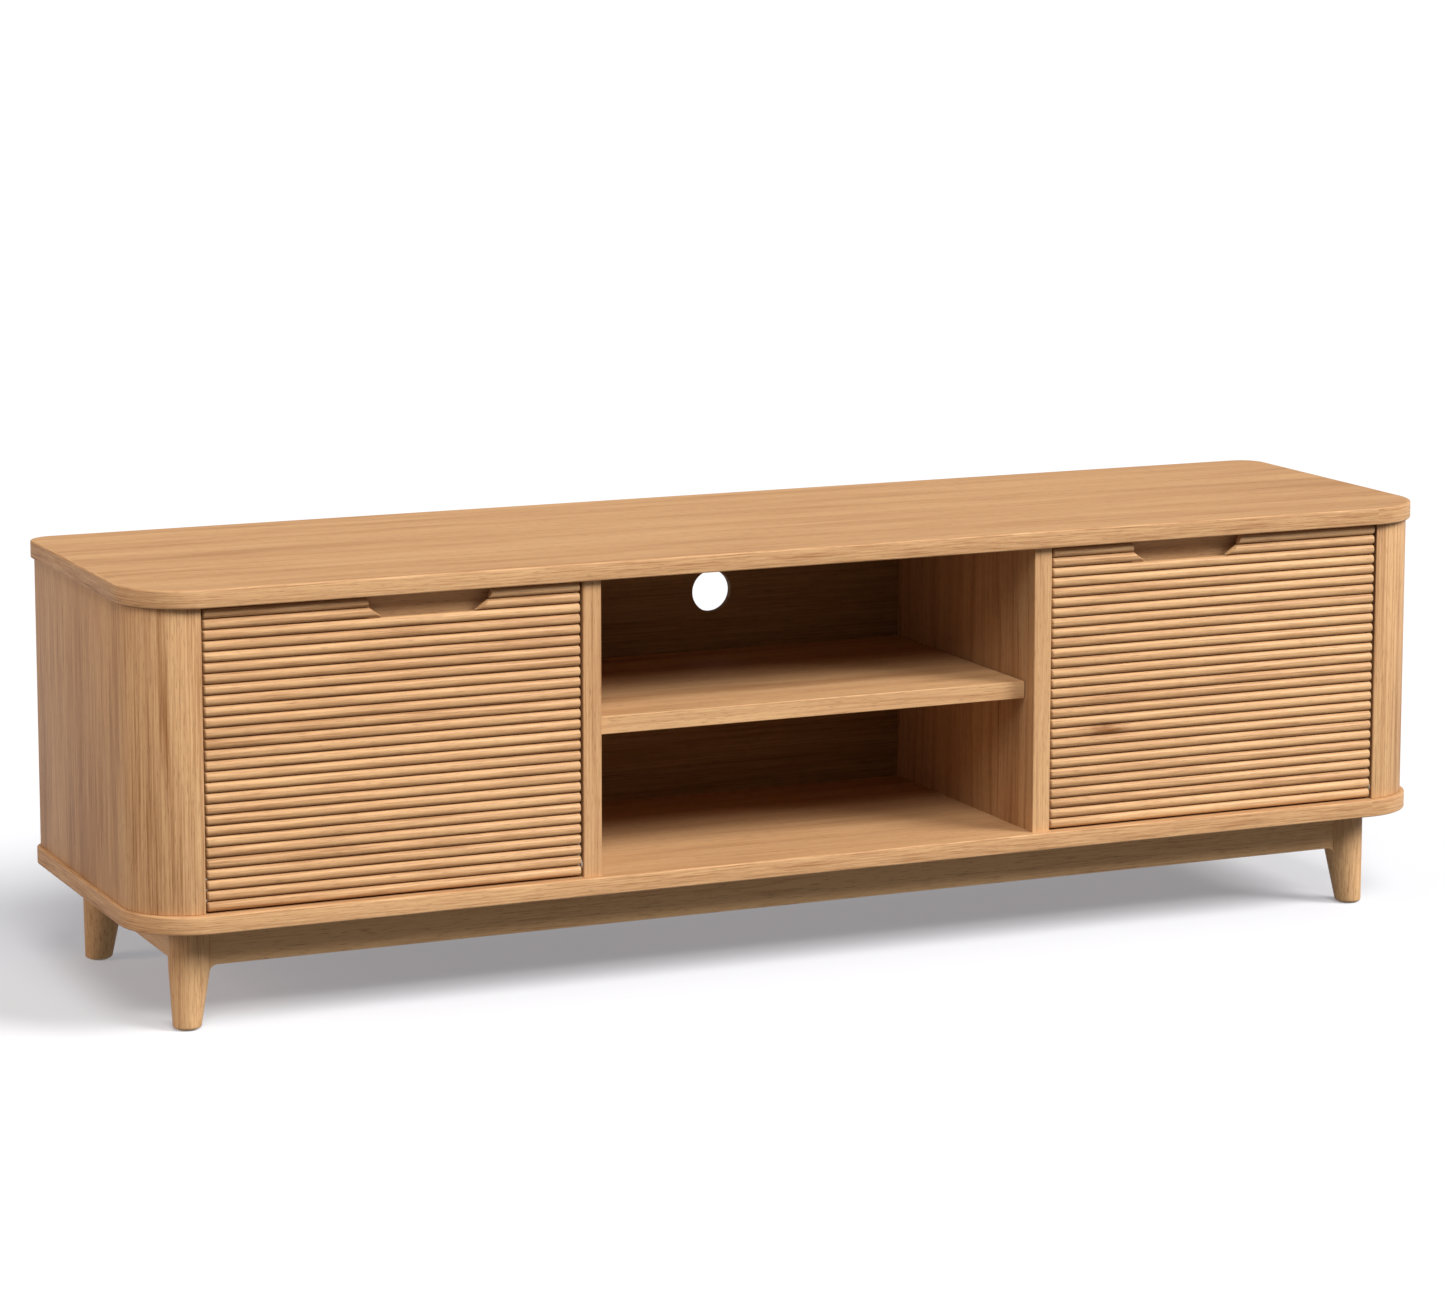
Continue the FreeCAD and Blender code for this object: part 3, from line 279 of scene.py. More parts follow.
def knot_shade(tree, centre_mm):
    """Darkness of a small knot: 1 at its middle, falling off over 42 mm along X and 11 mm up."""
    where = add(tree, "ShaderNodeTexCoord", output="Object")
    placed = add(tree, "ShaderNodeMapping",
                 {"Vector": where, "Scale": (1 / MM,) * 3,
                  "Location": [-value for value in centre_mm]})
    torn = add(tree, "ShaderNodeTexNoise", {"Vector": placed, "Scale": 0.12, "Detail": 2.0},
               output="Color")
    moved = add(tree, "ShaderNodeVectorMath", {0: torn, 1: (9, 0, 9)}, operation="MULTIPLY")
    summed = add(tree, "ShaderNodeVectorMath", {0: placed, 1: moved}, operation="ADD")
    shrunk = add(tree, "ShaderNodeVectorMath", {0: summed, 1: (1 / 42, 0, 1 / 11)},
                 operation="MULTIPLY")
    reach = add(tree, "ShaderNodeVectorMath", {0: shrunk}, output="Value", operation="LENGTH")
    return add(tree, "ShaderNodeMapRange", {"Value": reach, "From Min": 0.1, "From Max": 1.1,
                                            "To Min": 1.0, "To Max": 0.0},
               interpolation_type="SMOOTHSTEP")


def oak(name, grain, shift=(0, 0, 0), pith=90.0, ring=7.0, figure=0.5, streaks=0.6,
        bands=0.45, lift=0.0, rough=0.0, run=150.0, painted_shade_tint=None, knot=None):
    """Lacquered oak. grain is the axis it runs along, or UV for the piece's own coordinates.

    Growth rings are cylinders about the pith, which lies pith mm below the surface and wanders;
    they are about ring mm apart, unevenly. Fine streaks, broad bands and pores are noise drawn
    out along the grain. figure, streaks and bands weigh the three, and lift makes the wood
    lighter, or darker below 0: on the legs, aprons and flap boards, and on the right flap's
    battens beyond the left's, it is painted light, and on the back panels painted shade. run is
    the length of a streak in mm, painted_shade_tint a colour multiplied over the wood as painted
    shade, and knot the place of a small knot in mm.
    """
    finish = bpy.context.scene.cabinet_finish
    material, tree, placed = start_material(
        name, "UV" if grain == "UV" else "Object", Location=shift,
        Rotation=TURN_TO_X.get(grain, (0, 0, 0)))
    # rings meander by up to 22 mm across over about 300 mm of length
    drift = add(tree, "ShaderNodeMapRange",
                {"Value": stretched(tree, placed, 300, 70, 1.5), "To Min": -22, "To Max": 22})
    offset = add(tree, "ShaderNodeCombineXYZ", {"Y": drift, "Z": pith})
    wandering = add(tree, "ShaderNodeVectorMath", {0: placed, 1: offset}, operation="ADD")
    radial = add(tree, "ShaderNodeVectorMath", {0: wandering, 1: (0, 1, 1)},
                 operation="MULTIPLY")
    reach = add(tree, "ShaderNodeVectorMath", {0: radial}, output="Value", operation="LENGTH")
    along = add(tree, "ShaderNodeSeparateXYZ", {0: placed}, output="X")
    # a ring changes over about 900 mm of its length
    ringed = add(tree, "ShaderNodeVectorMath",
                 {0: add(tree, "ShaderNodeCombineXYZ", {"X": reach, "Y": along}),
                  1: (1 / ring, 1 / 900, 0)}, operation="MULTIPLY")
    rings = add(tree, "ShaderNodeTexNoise", {"Vector": ringed, "Scale": 1.0, "Detail": 2.5,
                                             "Roughness": 0.6}, output="Fac")
    latewood = add(tree, "ShaderNodeMapRange", {"Value": rings, "From Min": 0.42,
                                                "From Max": 0.72},
                   interpolation_type="SMOOTHSTEP")
    lines = add(tree, "ShaderNodeMath", {0: latewood, 1: stretched(tree, placed, 260, 30, 2)},
                operation="MULTIPLY")
    # streaks 2 mm wide: real ones are under 1 mm, drawn as coarse as they need to show
    fine = stretched(tree, placed, run, 2.0, 4, 0.65)
    broad = stretched(tree, placed, 650, 38, 2)
    weighed = [(lines, 1.6 * figure), (fine, 2.4 * streaks), (broad, 2.4 * bands)]
    if knot:
        shade = add(tree, "ShaderNodeMath", {0: knot_shade(tree, knot),
                                             1: stretched(tree, placed, 30, 3.5, 3)},
                    operation="MULTIPLY")
        weighed.append((shade, 1.3))
    # each pattern darkens or lightens about its own mean, and the sum is a place on the ramp
    dark = MIDDLE_TONE - lift - 0.35 * figure - 1.2 * (streaks + bands)
    for pattern, weight in weighed:
        dark = add(tree, "ShaderNodeMath", {0: pattern, 1: weight, 2: dark},
                   operation="MULTIPLY_ADD")
    ramp = add(tree, "ShaderNodeValToRGB", {"Fac": dark})
    stops = ramp.node.color_ramp.elements
    stops[0].position, stops[0].color = 0.0, finish.oak_light
    stops[1].position, stops[1].color = 1.0, finish.oak_dark
    stops.new(MIDDLE_TONE).color = finish.oak_mid
    # pores about 0.9 mm wide and 16 mm long, in place of 0.2 by 5 mm, to show at this size
    pores = add(tree, "ShaderNodeMapRange",
                {"Value": stretched(tree, placed, 16, 0.9, 2.0), "From Min": 0.56,
                 "From Max": 0.74, "To Max": 0.5})
    wood = add(tree, "ShaderNodeMix", {"Factor": pores, 6: ramp, 7: finish.oak_pore},
               output=2, data_type="RGBA")
    # a colour multiplied over the whole wood, used only on the back panels as painted shade
    if painted_shade_tint:
        wood = add(tree, "ShaderNodeMix", {"Factor": 1.0, 6: wood, 7: linear(painted_shade_tint)},
                   output=2, data_type="RGBA", blend_type="MULTIPLY")
    height = add(tree, "ShaderNodeMath", {0: pores, 1: -0.9, 2: fine}, operation="MULTIPLY_ADD")
    bump = add(tree, "ShaderNodeBump", {"Height": height, "Strength": 0.22, "Distance": 0.25 * MM})
    gloss = add(tree, "ShaderNodeMapRange",
                {"Value": fine, "To Min": finish.gloss + rough - 0.06,
                 "To Max": finish.gloss + rough + 0.12})
    lacquered = add(tree, "ShaderNodeBsdfPrincipled",
                    {"Base Color": wood, "Roughness": gloss, "Normal": bump, "IOR": 1.45,
                     "Specular IOR Level": 0.24})
    add(tree, "ShaderNodeOutputMaterial", {"Surface": lacquered})
    return material


def beech(name, grain):
    """Planed, unlacquered beech: pinkish, even, with short fine flecks."""
    finish = bpy.context.scene.cabinet_finish
    material, tree, placed = start_material(name, Rotation=TURN_TO_X[grain])
    # flecks of ray tissue 1.2 mm wide and 9 mm long, twice their real size
    fleck = add(tree, "ShaderNodeMapRange", {"Value": stretched(tree, placed, 9, 1.2, 1),
                                             "From Min": 0.6, "From Max": 0.72, "To Max": 0.5})
    tone = stretched(tree, placed, 180, 9, 3)
    wood = add(tree, "ShaderNodeMix", {"Factor": tone, 6: finish.beech, 7: linear("#a87a55")},
               output=2, data_type="RGBA")
    flecked = add(tree, "ShaderNodeMix", {"Factor": fleck, 6: wood, 7: linear("#8a5c3b")},
                  output=2, data_type="RGBA")
    bump = add(tree, "ShaderNodeBump", {"Height": tone, "Strength": 0.15, "Distance": 0.2 * MM})
    planed = add(tree, "ShaderNodeBsdfPrincipled",
                 {"Base Color": flecked, "Roughness": 0.62, "Normal": bump, "IOR": 1.5})
    add(tree, "ShaderNodeOutputMaterial", {"Surface": planed})
    return material


def plated(name, base, roughness, tint, grit):
    """Plated steel: a bright metal whose gloss and tint vary in small clouds of grit mm."""
    material, tree, placed = start_material(name)
    fine = stretched(tree, placed, grit * 3, grit, 2)
    tinted = add(tree, "ShaderNodeMix", {"Factor": stretched(tree, placed, grit * 8, grit * 8, 3),
                                         6: base, 7: tint}, output=2, data_type="RGBA")
    gloss = add(tree, "ShaderNodeMapRange", {"Value": fine, "To Min": roughness - 0.08,
                                             "To Max": roughness + 0.1})
    bump = add(tree, "ShaderNodeBump", {"Height": fine, "Strength": 0.08, "Distance": 0.05 * MM})
    metal = add(tree, "ShaderNodeBsdfPrincipled", {"Base Color": tinted, "Metallic": 1.0,
                                                   "Roughness": gloss, "Normal": bump})
    add(tree, "ShaderNodeOutputMaterial", {"Surface": metal})
    return material


def moulded(name, base, shade, roughness, grain_mm, ior=1.5):
    """Moulded plastic or sintered ferrite: an even colour with a fine texture of grain_mm."""
    material, tree, placed = start_material(name)
    fine = stretched(tree, placed, grain_mm, grain_mm, 2)
    cloud = stretched(tree, placed, 20 * grain_mm, 20 * grain_mm, 2)
    clouded = add(tree, "ShaderNodeMix", {"Factor": cloud, 6: base, 7: shade},
                  output=2, data_type="RGBA")
    bump = add(tree, "ShaderNodeBump", {"Height": fine, "Strength": 0.2, "Distance": 0.05 * MM})
    even = add(tree, "ShaderNodeBsdfPrincipled", {"Base Color": clouded, "Roughness": roughness,
                                                  "Normal": bump, "IOR": ior})
    add(tree, "ShaderNodeOutputMaterial", {"Surface": even})
    return material


def finish_nodes(names, material):
    """Gives carried-over nodes a material in every slot."""
    for name in names:
        for slot in NODES[name].material_slots:
            slot.material = material


# ---------------------------------------------------------------- panels
VENEER_INSET = 12 * MM       # from a panel's edge to the ring where its flat cap starts


def rounded_outline(half_x, front, rear, radius_front, radius_rear, inset):
    """Plan outline of a panel, inset all round: four quarter circles joined by straight lines."""
    corners = []
    turns = quarter(19)
    for x, y, radius, start in (
            (half_x - radius_front, front + radius_front, radius_front, -math.pi / 2),
            (half_x - radius_rear, rear - radius_rear, radius_rear, 0.0),
            (radius_rear - half_x, rear - radius_rear, radius_rear, math.pi / 2),
            (radius_front - half_x, front + radius_front, radius_front, math.pi)):
        bend = radius - inset
        corners.append(np.stack([x + bend * np.cos(turns + start),
                                 y + bend * np.sin(turns + start)], axis=-1))
    stretches = []
    for number, corner in enumerate(corners):
        following = corners[(number + 1) % 4][0]
        share = np.linspace(0, 1, 12)[1:-1, None]
        stretches += [corner, corner[-1] * (1 - share) + following * share]
    return np.concatenate(stretches)


def panel(name, node, material_face, material_edge):
    """Slab with rounded corners: an outline carried round a profile with two eased arrises.

    The faces are flat and veneered along X; the edge band's grain follows the outline.
    """
    shape = bpy.context.scene.cabinet_shape
    (_, y0, z0), (x1, y1, z1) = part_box(node)
    arris = shape.panel_arris
    band = arris + shape.edge_band
    turn = quarter(6)
    inset = np.concatenate([[band], arris * (1 - np.sin(turn)),
                            arris * (1 - np.cos(turn)), [band]])
    height = np.concatenate([[z1], z1 - arris * (1 - np.cos(turn)),
                             z0 + arris * (1 - np.sin(turn)), [z0]])

    def ring(distance, level):
        """Outline at one inset and height."""
        plan = rounded_outline(x1, y0, y1, shape.panel_corner_front, shape.panel_corner_rear,
                               distance)
        return np.column_stack([plan, np.full(len(plan), level)])

    rim = np.stack([ring(distance, level) for distance, level in zip(inset, height)])
    middle = rim[len(inset) // 2]
    steps = np.linalg.norm(np.diff(middle, axis=0, append=middle[:1]), axis=1)
    run = np.concatenate([[0], np.cumsum(steps)])
    closed_rim = np.concatenate([rim, rim[:, :1]], axis=1)
    girth = np.concatenate([[0], np.cumsum(np.hypot(np.diff(inset), np.diff(height)))])
    grids = [(closed_rim, np.stack(np.meshgrid(run, girth), axis=-1), False)]
    caps = []
    for level, edge in ((z1, rim[0]), (z0, rim[-1])):
        inner = ring(VENEER_INSET, level)
        both = np.stack([edge, inner])
        grids.append((both, both[..., :2], True))
        caps.append((inner, inner[:, :2]))
    made = build(name, grids, caps)
    place(made, "carcass", material_face, "oak_top", node)
    made.data.materials.append(material_edge)
    centre, normal = np.zeros((2, len(made.data.polygons) * 3), np.float32)
    made.data.polygons.foreach_get("center", centre)
    made.data.polygons.foreach_get("normal", normal)
    centre, normal = centre.reshape(-1, 3), normal.reshape(-1, 3)
    veneered = ((np.abs(normal[:, 2]) > 0.999) & (np.abs(centre[:, 0]) < x1 - band)
                & (centre[:, 1] > y0 + band))
    made.data.polygons.foreach_set("material_index", (~veneered).astype(np.int32))
    return made


class CABINET_OT_panels(bpy.types.Operator):
    """Top and bottom panels, veneered, with a solid oak edge band"""
    bl_idname = "cabinet.panels"
    bl_label = "Top and bottom panels"

    def execute(self, context):
        # crown-cut oak veneer under satin lacquer: long quiet streaks, little contrast
        face = oak("oak_veneer_lacquered", "UV", pith=70, ring=11, figure=0.22, streaks=0.5,
                   bands=0.30)
        # solid oak edging, moulded round and lacquered: the grain follows the rim
        edge = oak("oak_edge_band_lacquered", "UV", shift=(310, 40, 0), pith=45, ring=5,
                   figure=0.16, streaks=0.85, bands=0.30, run=70)
        panel("top_slab", "top_panel", face, edge)
        panel("bottom_slab", "bottom_panel", face, edge)
        return {"FINISHED"}


# ---------------------------------------------------------------- sides and posts
SHARPEST = 0.02 * MM         # radius that an inset corner keeps, so that it doesn't close up
HIDDEN_ARRIS = 0.4 * MM      # rounding of the long edges that meet another board


def upright(name, outline, z0, z1, ease, node, material):
    """Upright of constant plan: its outline carried up, drawn in at both ends by a small ease.

    outline(inset) gives the plan points for an inset; a point's plan distance along the outline
    and its height are its grain coordinates.
    """
    turn = quarter(4)
    inset = np.concatenate([ease * (1 - np.sin(turn)), ease * (1 - np.sin(turn))[::-1]])
    height = np.concatenate([z0 + ease * (1 - np.cos(turn)), z1 - ease * (1 - np.cos(turn))[::-1]])
    plan = np.stack([outline(distance) for distance in inset])
    level = np.broadcast_to(height[:, None, None], (*plan.shape[:2], 1))
    surface = np.concatenate([plan, level], axis=-1)
    flow = np.stack([surface[..., 2], surface[..., 0] + surface[..., 1]], axis=-1)
    caps = [(surface[0], flow[0]), (surface[-1], flow[-1])]
    made = build(name, [(surface, flow, True)], caps)
    place(made, "carcass", material, "oak_upright", node)
    return made


def board_outline(x0, x1, y0, y1, ease):
    """Plan outline of a board, as a function of its inset, with corners rounded by ease."""
    def outline(inset):
        turns = quarter(4)
        stretches = []
        for x, y, start in ((x1 - ease, y0 + ease, -math.pi / 2), (x1 - ease, y1 - ease, 0.0),
                            (x0 + ease, y1 - ease, math.pi / 2), (x0 + ease, y0 + ease, math.pi)):
            bend = max(ease - inset, SHARPEST)
            stretches.append(np.stack([x + bend * np.cos(turns + start),
                                       y + bend * np.sin(turns + start)], axis=-1))
        return np.concatenate(stretches)
    return outline


def front_post_outline(side, centre_x, centre_y, outer, wall, ease):
    """Quarter ring with rounded corners, as a function of its inset, mirrored by side."""
    def outline(inset):
        inner = outer - wall
        far = np.linspace(-math.pi / 2 + ease / outer, -ease / outer, 25)
        near = np.linspace(-ease / inner, -math.pi / 2 + ease / inner, 19)
        bend = max(ease - inset, SHARPEST)
        small = quarter(5)
        stretches = [np.stack([(outer - inset) * np.cos(far), (outer - inset) * np.sin(far)], -1)]
        # the end at the side panel lies along X at y = 0, the other along Y at x = 0
        stretches.append(np.stack([outer - ease + bend * np.cos(small),
                                   -ease + bend * np.sin(small)], -1))
        stretches.append(np.stack([inner + ease - bend * np.sin(small),
                                   -ease + bend * np.cos(small)], -1))
        stretches.append(np.stack([(inner + inset) * np.cos(near),
                                   (inner + inset) * np.sin(near)], -1))
        stretches.append(np.stack([ease - bend * np.cos(small),
                                   -(inner + ease) + bend * np.sin(small)], -1))
        stretches.append(np.stack([ease - bend * np.sin(small),
                                   -(outer - ease) - bend * np.cos(small)], -1))
        plan = np.concatenate(stretches)
        return np.stack([side * (centre_x + plan[:, 0]), centre_y + plan[:, 1]], axis=-1)
    return outline


def rear_post_outline(side, x_in, x_out, y_front, y_rear, corner, ease):
    """Rectangle with one large rounded corner outside at the rear, mirrored by side."""
    def outline(inset):
        stretches = []
        for x, y, radius, start, steps in (
                (x_out - ease, y_front + ease, ease, -math.pi / 2, 4),
                (x_out - corner, y_rear - corner, corner, 0.0, 15),
                (x_in + ease, y_rear - ease, ease, math.pi / 2, 4),
                (x_in + ease, y_front + ease, ease, math.pi, 4)):
            bend = max(radius - inset, SHARPEST)
            turns = quarter(steps) + start
            stretches.append(np.stack([x + bend * np.cos(turns), y + bend * np.sin(turns)], -1))
        plan = np.concatenate(stretches)
        return np.stack([side * plan[:, 0], plan[:, 1]], axis=-1)
    return outline


class CABINET_OT_sides(bpy.types.Operator):
    """Side panels, curved front posts and rear posts"""
    bl_idname = "cabinet.sides"
    bl_label = "Sides and posts"

    def execute(self, context):
        shape = context.scene.cabinet_shape
        ease = shape.board_ease
        # straight-grained oak, planed and lacquered: fine upright lines in darker bands
        wood = oak("oak_upright_lacquered", "Z", pith=60, ring=6, figure=0.45, streaks=1.05,
                   bands=0.30)
        for side, sign in zip(SIDES, (-1, 1)):
            post, rear, board = (side + part for part in ("_front_post", "_rear_post",
                                                          "_side_panel"))
            z0, z1 = low(post, 2), high(post, 2)
            outer = high(post, 1) - low(post, 1)
            inner_x = min(abs(low(post, 0)), abs(high(post, 0)))
            wall = high(board, 0) - low(board, 0)
            upright(side + "_quarter_post",
                    front_post_outline(sign, inner_x, high(post, 1), outer, wall, shape.post_ease),
                    z0, z1, ease, post, wood)
            upright(side + "_side_board",
                    board_outline(low(board, 0), high(board, 0), low(board, 1), high(board, 1),
                                  HIDDEN_ARRIS), z0, z1, ease, board, wood)
            ends = sorted((abs(low(rear, 0)), abs(high(rear, 0))))
            upright(side + "_back_post",
                    rear_post_outline(sign, ends[0], ends[1], low(rear, 1), high(rear, 1),
                                      high(rear, 1) - low(rear, 1), HIDDEN_ARRIS),
                    z0, z1, ease, rear, wood)
        return {"FINISHED"}


# ---------------------------------------------------------------- flap battens
TIP_SHRINK = 0.5             # how much of a batten's depth its end rounding takes away
TIP_NARROW = 0.25            # and of its height
GRAIN_ALONG = 0.737          # metres between the grain of one batten and of the next
GRAIN_ACROSS = 0.0913
NEXT_PIECE = 30              # counts on past a flap's battens, for a parted batten's other half
NEXT_FLAP = 60


def batten(x0, x1, y_back, y_shoulder, y_crest, z_mid, half, fullness, end0, end1, number):
    """Batten: a section carried along X and drawn in at its ends.

    The section is a flat back, short sides up to the shoulder and a crest that is half a
    superellipse. end0 and end1 are each a length of end rounding, or a function that gives X
    for the section's heights, where the batten is cut across by the finger pull.
    """
    turn = np.linspace(0, math.pi, 19)
    crest_z = half * np.sign(np.cos(turn)) * np.abs(np.cos(turn)) ** (2 / fullness)
    crest_y = (y_crest - y_shoulder) * np.abs(np.sin(turn)) ** (2 / fullness)
    section_y = np.concatenate([[y_back], y_shoulder + crest_y, [y_back]])
    section_z = np.concatenate([[half], crest_z, [-half]])
    round_in = quarter(6)
    spans, drawn_in = [], []
    for end, x, way in ((end0, x0, 1), (end1, x1, -1)):
        if callable(end):
            spans.append(end(z_mid + section_z)[None])
            drawn_in.append(np.zeros(1))
        else:
            x_row = x + way * end * (1 - np.sin(round_in))
            spans.append(x_row[:, None] * np.ones(len(section_z)))
            drawn_in.append(1 - np.cos(round_in))
    rows = np.concatenate([spans[0][::-1], spans[1]])
    taken = np.concatenate([drawn_in[0][::-1], drawn_in[1]])[:, None]
    depth = y_back + (section_y - y_back) * (1 - TIP_SHRINK * taken)
    level = z_mid + section_z * (1 - TIP_NARROW * taken)
    surface = np.stack([rows, depth, level], axis=-1)
    girth = np.concatenate([[0], np.cumsum(np.hypot(np.diff(section_y), np.diff(section_z)))])
    flow = np.stack([rows + number * GRAIN_ALONG,
                     np.broadcast_to(girth + number * GRAIN_ACROSS, rows.shape)], axis=-1)
    return surface, flow


def flap_battens(side, sign, material):
    """All the battens of one flap, the upper two parted by the finger pull."""
    shape = bpy.context.scene.cabinet_shape
    node = side + "_flap_ribs"
    (x0, y0, _), (x1, y1, _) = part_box(node)
    board_z0, board_z1 = low(side + "_flap_board", 2), high(side + "_flap_board", 2)
    count = round((board_z1 - board_z0) / shape.rib_pitch)
    pitch = (board_z1 - board_z0) / count
    half = (pitch - shape.rib_gap) / 2
    radius = 2 * pitch
    centre = (x0 + x1) / 2 - sign * shape.pull_offset
    flat = shape.pull_width / 2 - radius

    def pull_edge(way):
        """X of the finger pull's side at each height: a quarter circle at its lower corner."""
        def at(heights):
            above = np.clip(board_z1 - heights, 0, radius)
            return centre + way * (flat + np.sqrt(np.maximum(radius**2 - above**2, 0)))
        return at

    grids, caps = [], []
    for number in range(count):
        z_mid = board_z1 - (number + 0.5) * pitch
        ends = [(shape.rib_end, shape.rib_end)]
        if number < 2:
            ends = [(shape.rib_end, pull_edge(-1)), (pull_edge(1), shape.rib_end)]
        for piece, (end0, end1) in enumerate(ends):
            surface, flow = batten(x0, x1, y1, y0 + shape.rib_crest, y0, z_mid, half,
                                   shape.rib_flat, end0, end1,
                                   number + NEXT_PIECE * piece + (NEXT_FLAP if sign > 0 else 0))
            grids.append((surface, flow, True))
            caps += [(surface[0], flow[0]), (surface[-1], flow[-1])]
    made = build(side + "_battens", grids, caps, sharp=50)
    place(made, side + "_flap", material, "oak_rib", node)
    return made


class CABINET_OT_battens(bpy.types.Operator):
    """Half-round battens of the two flaps"""
    bl_idname = "cabinet.battens"
    bl_label = "Flap battens"

    def execute(self, context):
        # moulded oak batten, lacquered: every batten has its own straight grain and tone
        wood = oak("oak_batten_lacquered", "UV", pith=40, ring=6, figure=0.25, streaks=0.85,
                   bands=0.50, lift=0.04, rough=-0.12, run=80)
        # the right flap's battens carry a real knot, and a larger lift than the left's makes them
        # lighter as painted light, for the stronger light on the cabinet's right
        knotted_painted_light = oak("oak_batten_knotted_painted_light", "UV", pith=40, ring=6, figure=0.25,
                      streaks=0.85, bands=0.50, lift=0.13, rough=-0.12, run=80,
                      knot=(366, -203, 255))
        flap_battens("left", -1, wood)
        flap_battens("right", 1, knotted_painted_light)
        return {"FINISHED"}


# ---------------------------------------------------------------- legs
APRON_FALL = 10 * MM         # from an apron's level lower edge to its lowest point, in a leg
KNEE_BLEND = 0.12            # half the span of the blend at the knee, as a share of the taper


def leg_shift():
    """How far a foot's centre lies outside the leg's upper centre, along each of X and Y."""
    shape = bpy.context.scene.cabinet_shape
    return (shape.leg_radius - shape.foot_radius) / math.sqrt(2)


def leg_reach():
    """From a leg's upper centre to its outermost side, along each of X and Y."""
    shape = bpy.context.scene.cabinet_shape
    return max(shape.leg_radius, leg_shift() + shape.foot_radius)


def leg(node, material):
    """Turned leg: circles whose radius and centre change with height.

    The upper part is a cylinder. Below the apron the radius falls evenly to the foot's and the
    centre shifts outwards, so that the outside stays upright; a short blend joins the two, and
    the foot's lower edge is a quarter circle.
    """
    shape = bpy.context.scene.cabinet_shape
    out_x = 1 if "right" in node else -1
    out_y = -1 if "front" in node else 1
    (x0, y0, z0), (x1, y1, z1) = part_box(node)
    upper, foot, ease = shape.leg_radius, shape.foot_radius, shape.foot_ease
    knee = low("front_apron", 2) + APRON_FALL
    shift = leg_shift()
    centre_x = (x1 if out_x > 0 else x0) - out_x * leg_reach()
    centre_y = (y0 if out_y < 0 else y1) - out_y * leg_reach()
    turn = quarter(6)
    # rows up to 12 mm above the knee, which is past the blend, and then the top
    heights = np.concatenate([z0 + ease * (1 - np.cos(turn)),
                              np.linspace(z0 + ease, knee + 12 * MM, 22)[1:], [z1]])
    fall = np.minimum((knee - heights) / (knee - z0), 1)
    taper = np.where(fall > KNEE_BLEND, fall,
                     np.where(fall < -KNEE_BLEND, 0, (fall + KNEE_BLEND)**2 / (4 * KNEE_BLEND)))
    radius = upper + (foot - upper) * taper
    radius[:len(turn)] -= ease * (1 - np.sin(turn))
    angle = np.linspace(0, 2 * math.pi, 64, endpoint=False)
    surface = np.stack([
        centre_x + out_x * shift * taper[:, None] + radius[:, None] * np.cos(angle),
        centre_y + out_y * shift * taper[:, None] + radius[:, None] * np.sin(angle),
        np.broadcast_to(heights[:, None], (len(heights), len(angle)))], axis=-1)
    flow = np.stack([surface[..., 2], np.broadcast_to(angle * upper, surface.shape[:2])], axis=-1)
    made = build(node + "_turned", [(surface, flow, True)],
                 [(surface[0], flow[0]), (surface[-1], flow[-1])])
    place(made, "carcass", material, "oak_leg", node)
    return made


class CABINET_OT_legs(bpy.types.Operator):
    """Four turned, tapered legs"""
    bl_idname = "cabinet.legs"
    bl_label = "Legs"

    def execute(self, context):
        # turned oak, sanded and lacquered: straight grain that runs out along the taper; lift
        # makes it lighter as painted light, in place of light under the cabinet that the stage
        # doesn't give
        wood = oak("oak_turned_lacquered_painted_light", "Z", shift=(0, 17, 8), pith=25, ring=5, figure=0.35,
                   streaks=0.95, bands=0.3, lift=0.2, run=90)
        for node in LEGS:
            leg(node, wood)
        return {"FINISHED"}


# ---------------------------------------------------------------- aprons
APRON_IN_LEG = 4 * MM        # from a leg's surface to the curve's end, and on to the apron's


def apron_span(along):
    """The legs' upper centres at either end of an axis."""
    return (low("front_left_leg", along) + leg_reach(),
            high("rear_right_leg", along) - leg_reach())


def apron(node, along, inward, material):
    """Apron: a section carried from leg to leg, whose lower edge curves down into each leg.

    along is the axis it runs on and inward the way its inner face lies. The lower edge is
    level, and near each leg it falls by a quarter circle that ends inside the leg.
    """
    shape = bpy.context.scene.cabinet_shape
    lowest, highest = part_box(node)
    across = 1 - along
    bend, ease = shape.apron_bend, shape.board_ease
    level, top = lowest[2] + APRON_FALL, highest[2]
    start = shape.leg_radius - APRON_IN_LEG
    first, last = apron_span(along)
    turn = quarter(9)
    fall = start + bend * (1 - np.cos(turn))
    drop = bend * (1 - np.sin(turn))
    # the ends stop inside the legs, past where the taper draws a leg's surface back
    hidden = start - APRON_IN_LEG
    station = np.concatenate([[first + hidden], first + fall, last - fall[::-1],
                              [last - hidden]])
    lower = level - np.concatenate([[bend], drop, drop[::-1], [bend]])
    thick = highest[across] - lowest[across]
    small = quarter(4)
    side = np.concatenate([[0], ease * (1 - np.cos(small)),
                           thick - ease + ease * np.sin(small), [thick]])
    rise = np.concatenate([ease * (1 - np.sin(small)), ease * (1 - np.cos(small))])
    tops = np.full((len(station), 1), top)
    height = np.concatenate([tops, lower[:, None] + rise, tops], axis=1)
    run = np.broadcast_to(station[:, None], height.shape)
    outer = lowest[across] if inward > 0 else highest[across]
    places = [None, None, height]
    places[along] = run
    places[across] = np.broadcast_to(outer + inward * side, height.shape)
    surface = np.stack(places, axis=-1)
    flow = np.stack([run, height + side], axis=-1)
    made = build(node + "_board", [(surface, flow, True)],
                 [(surface[0], flow[0]), (surface[-1], flow[-1])])
    place(made, "carcass", material, "oak_apron", node)
    return made


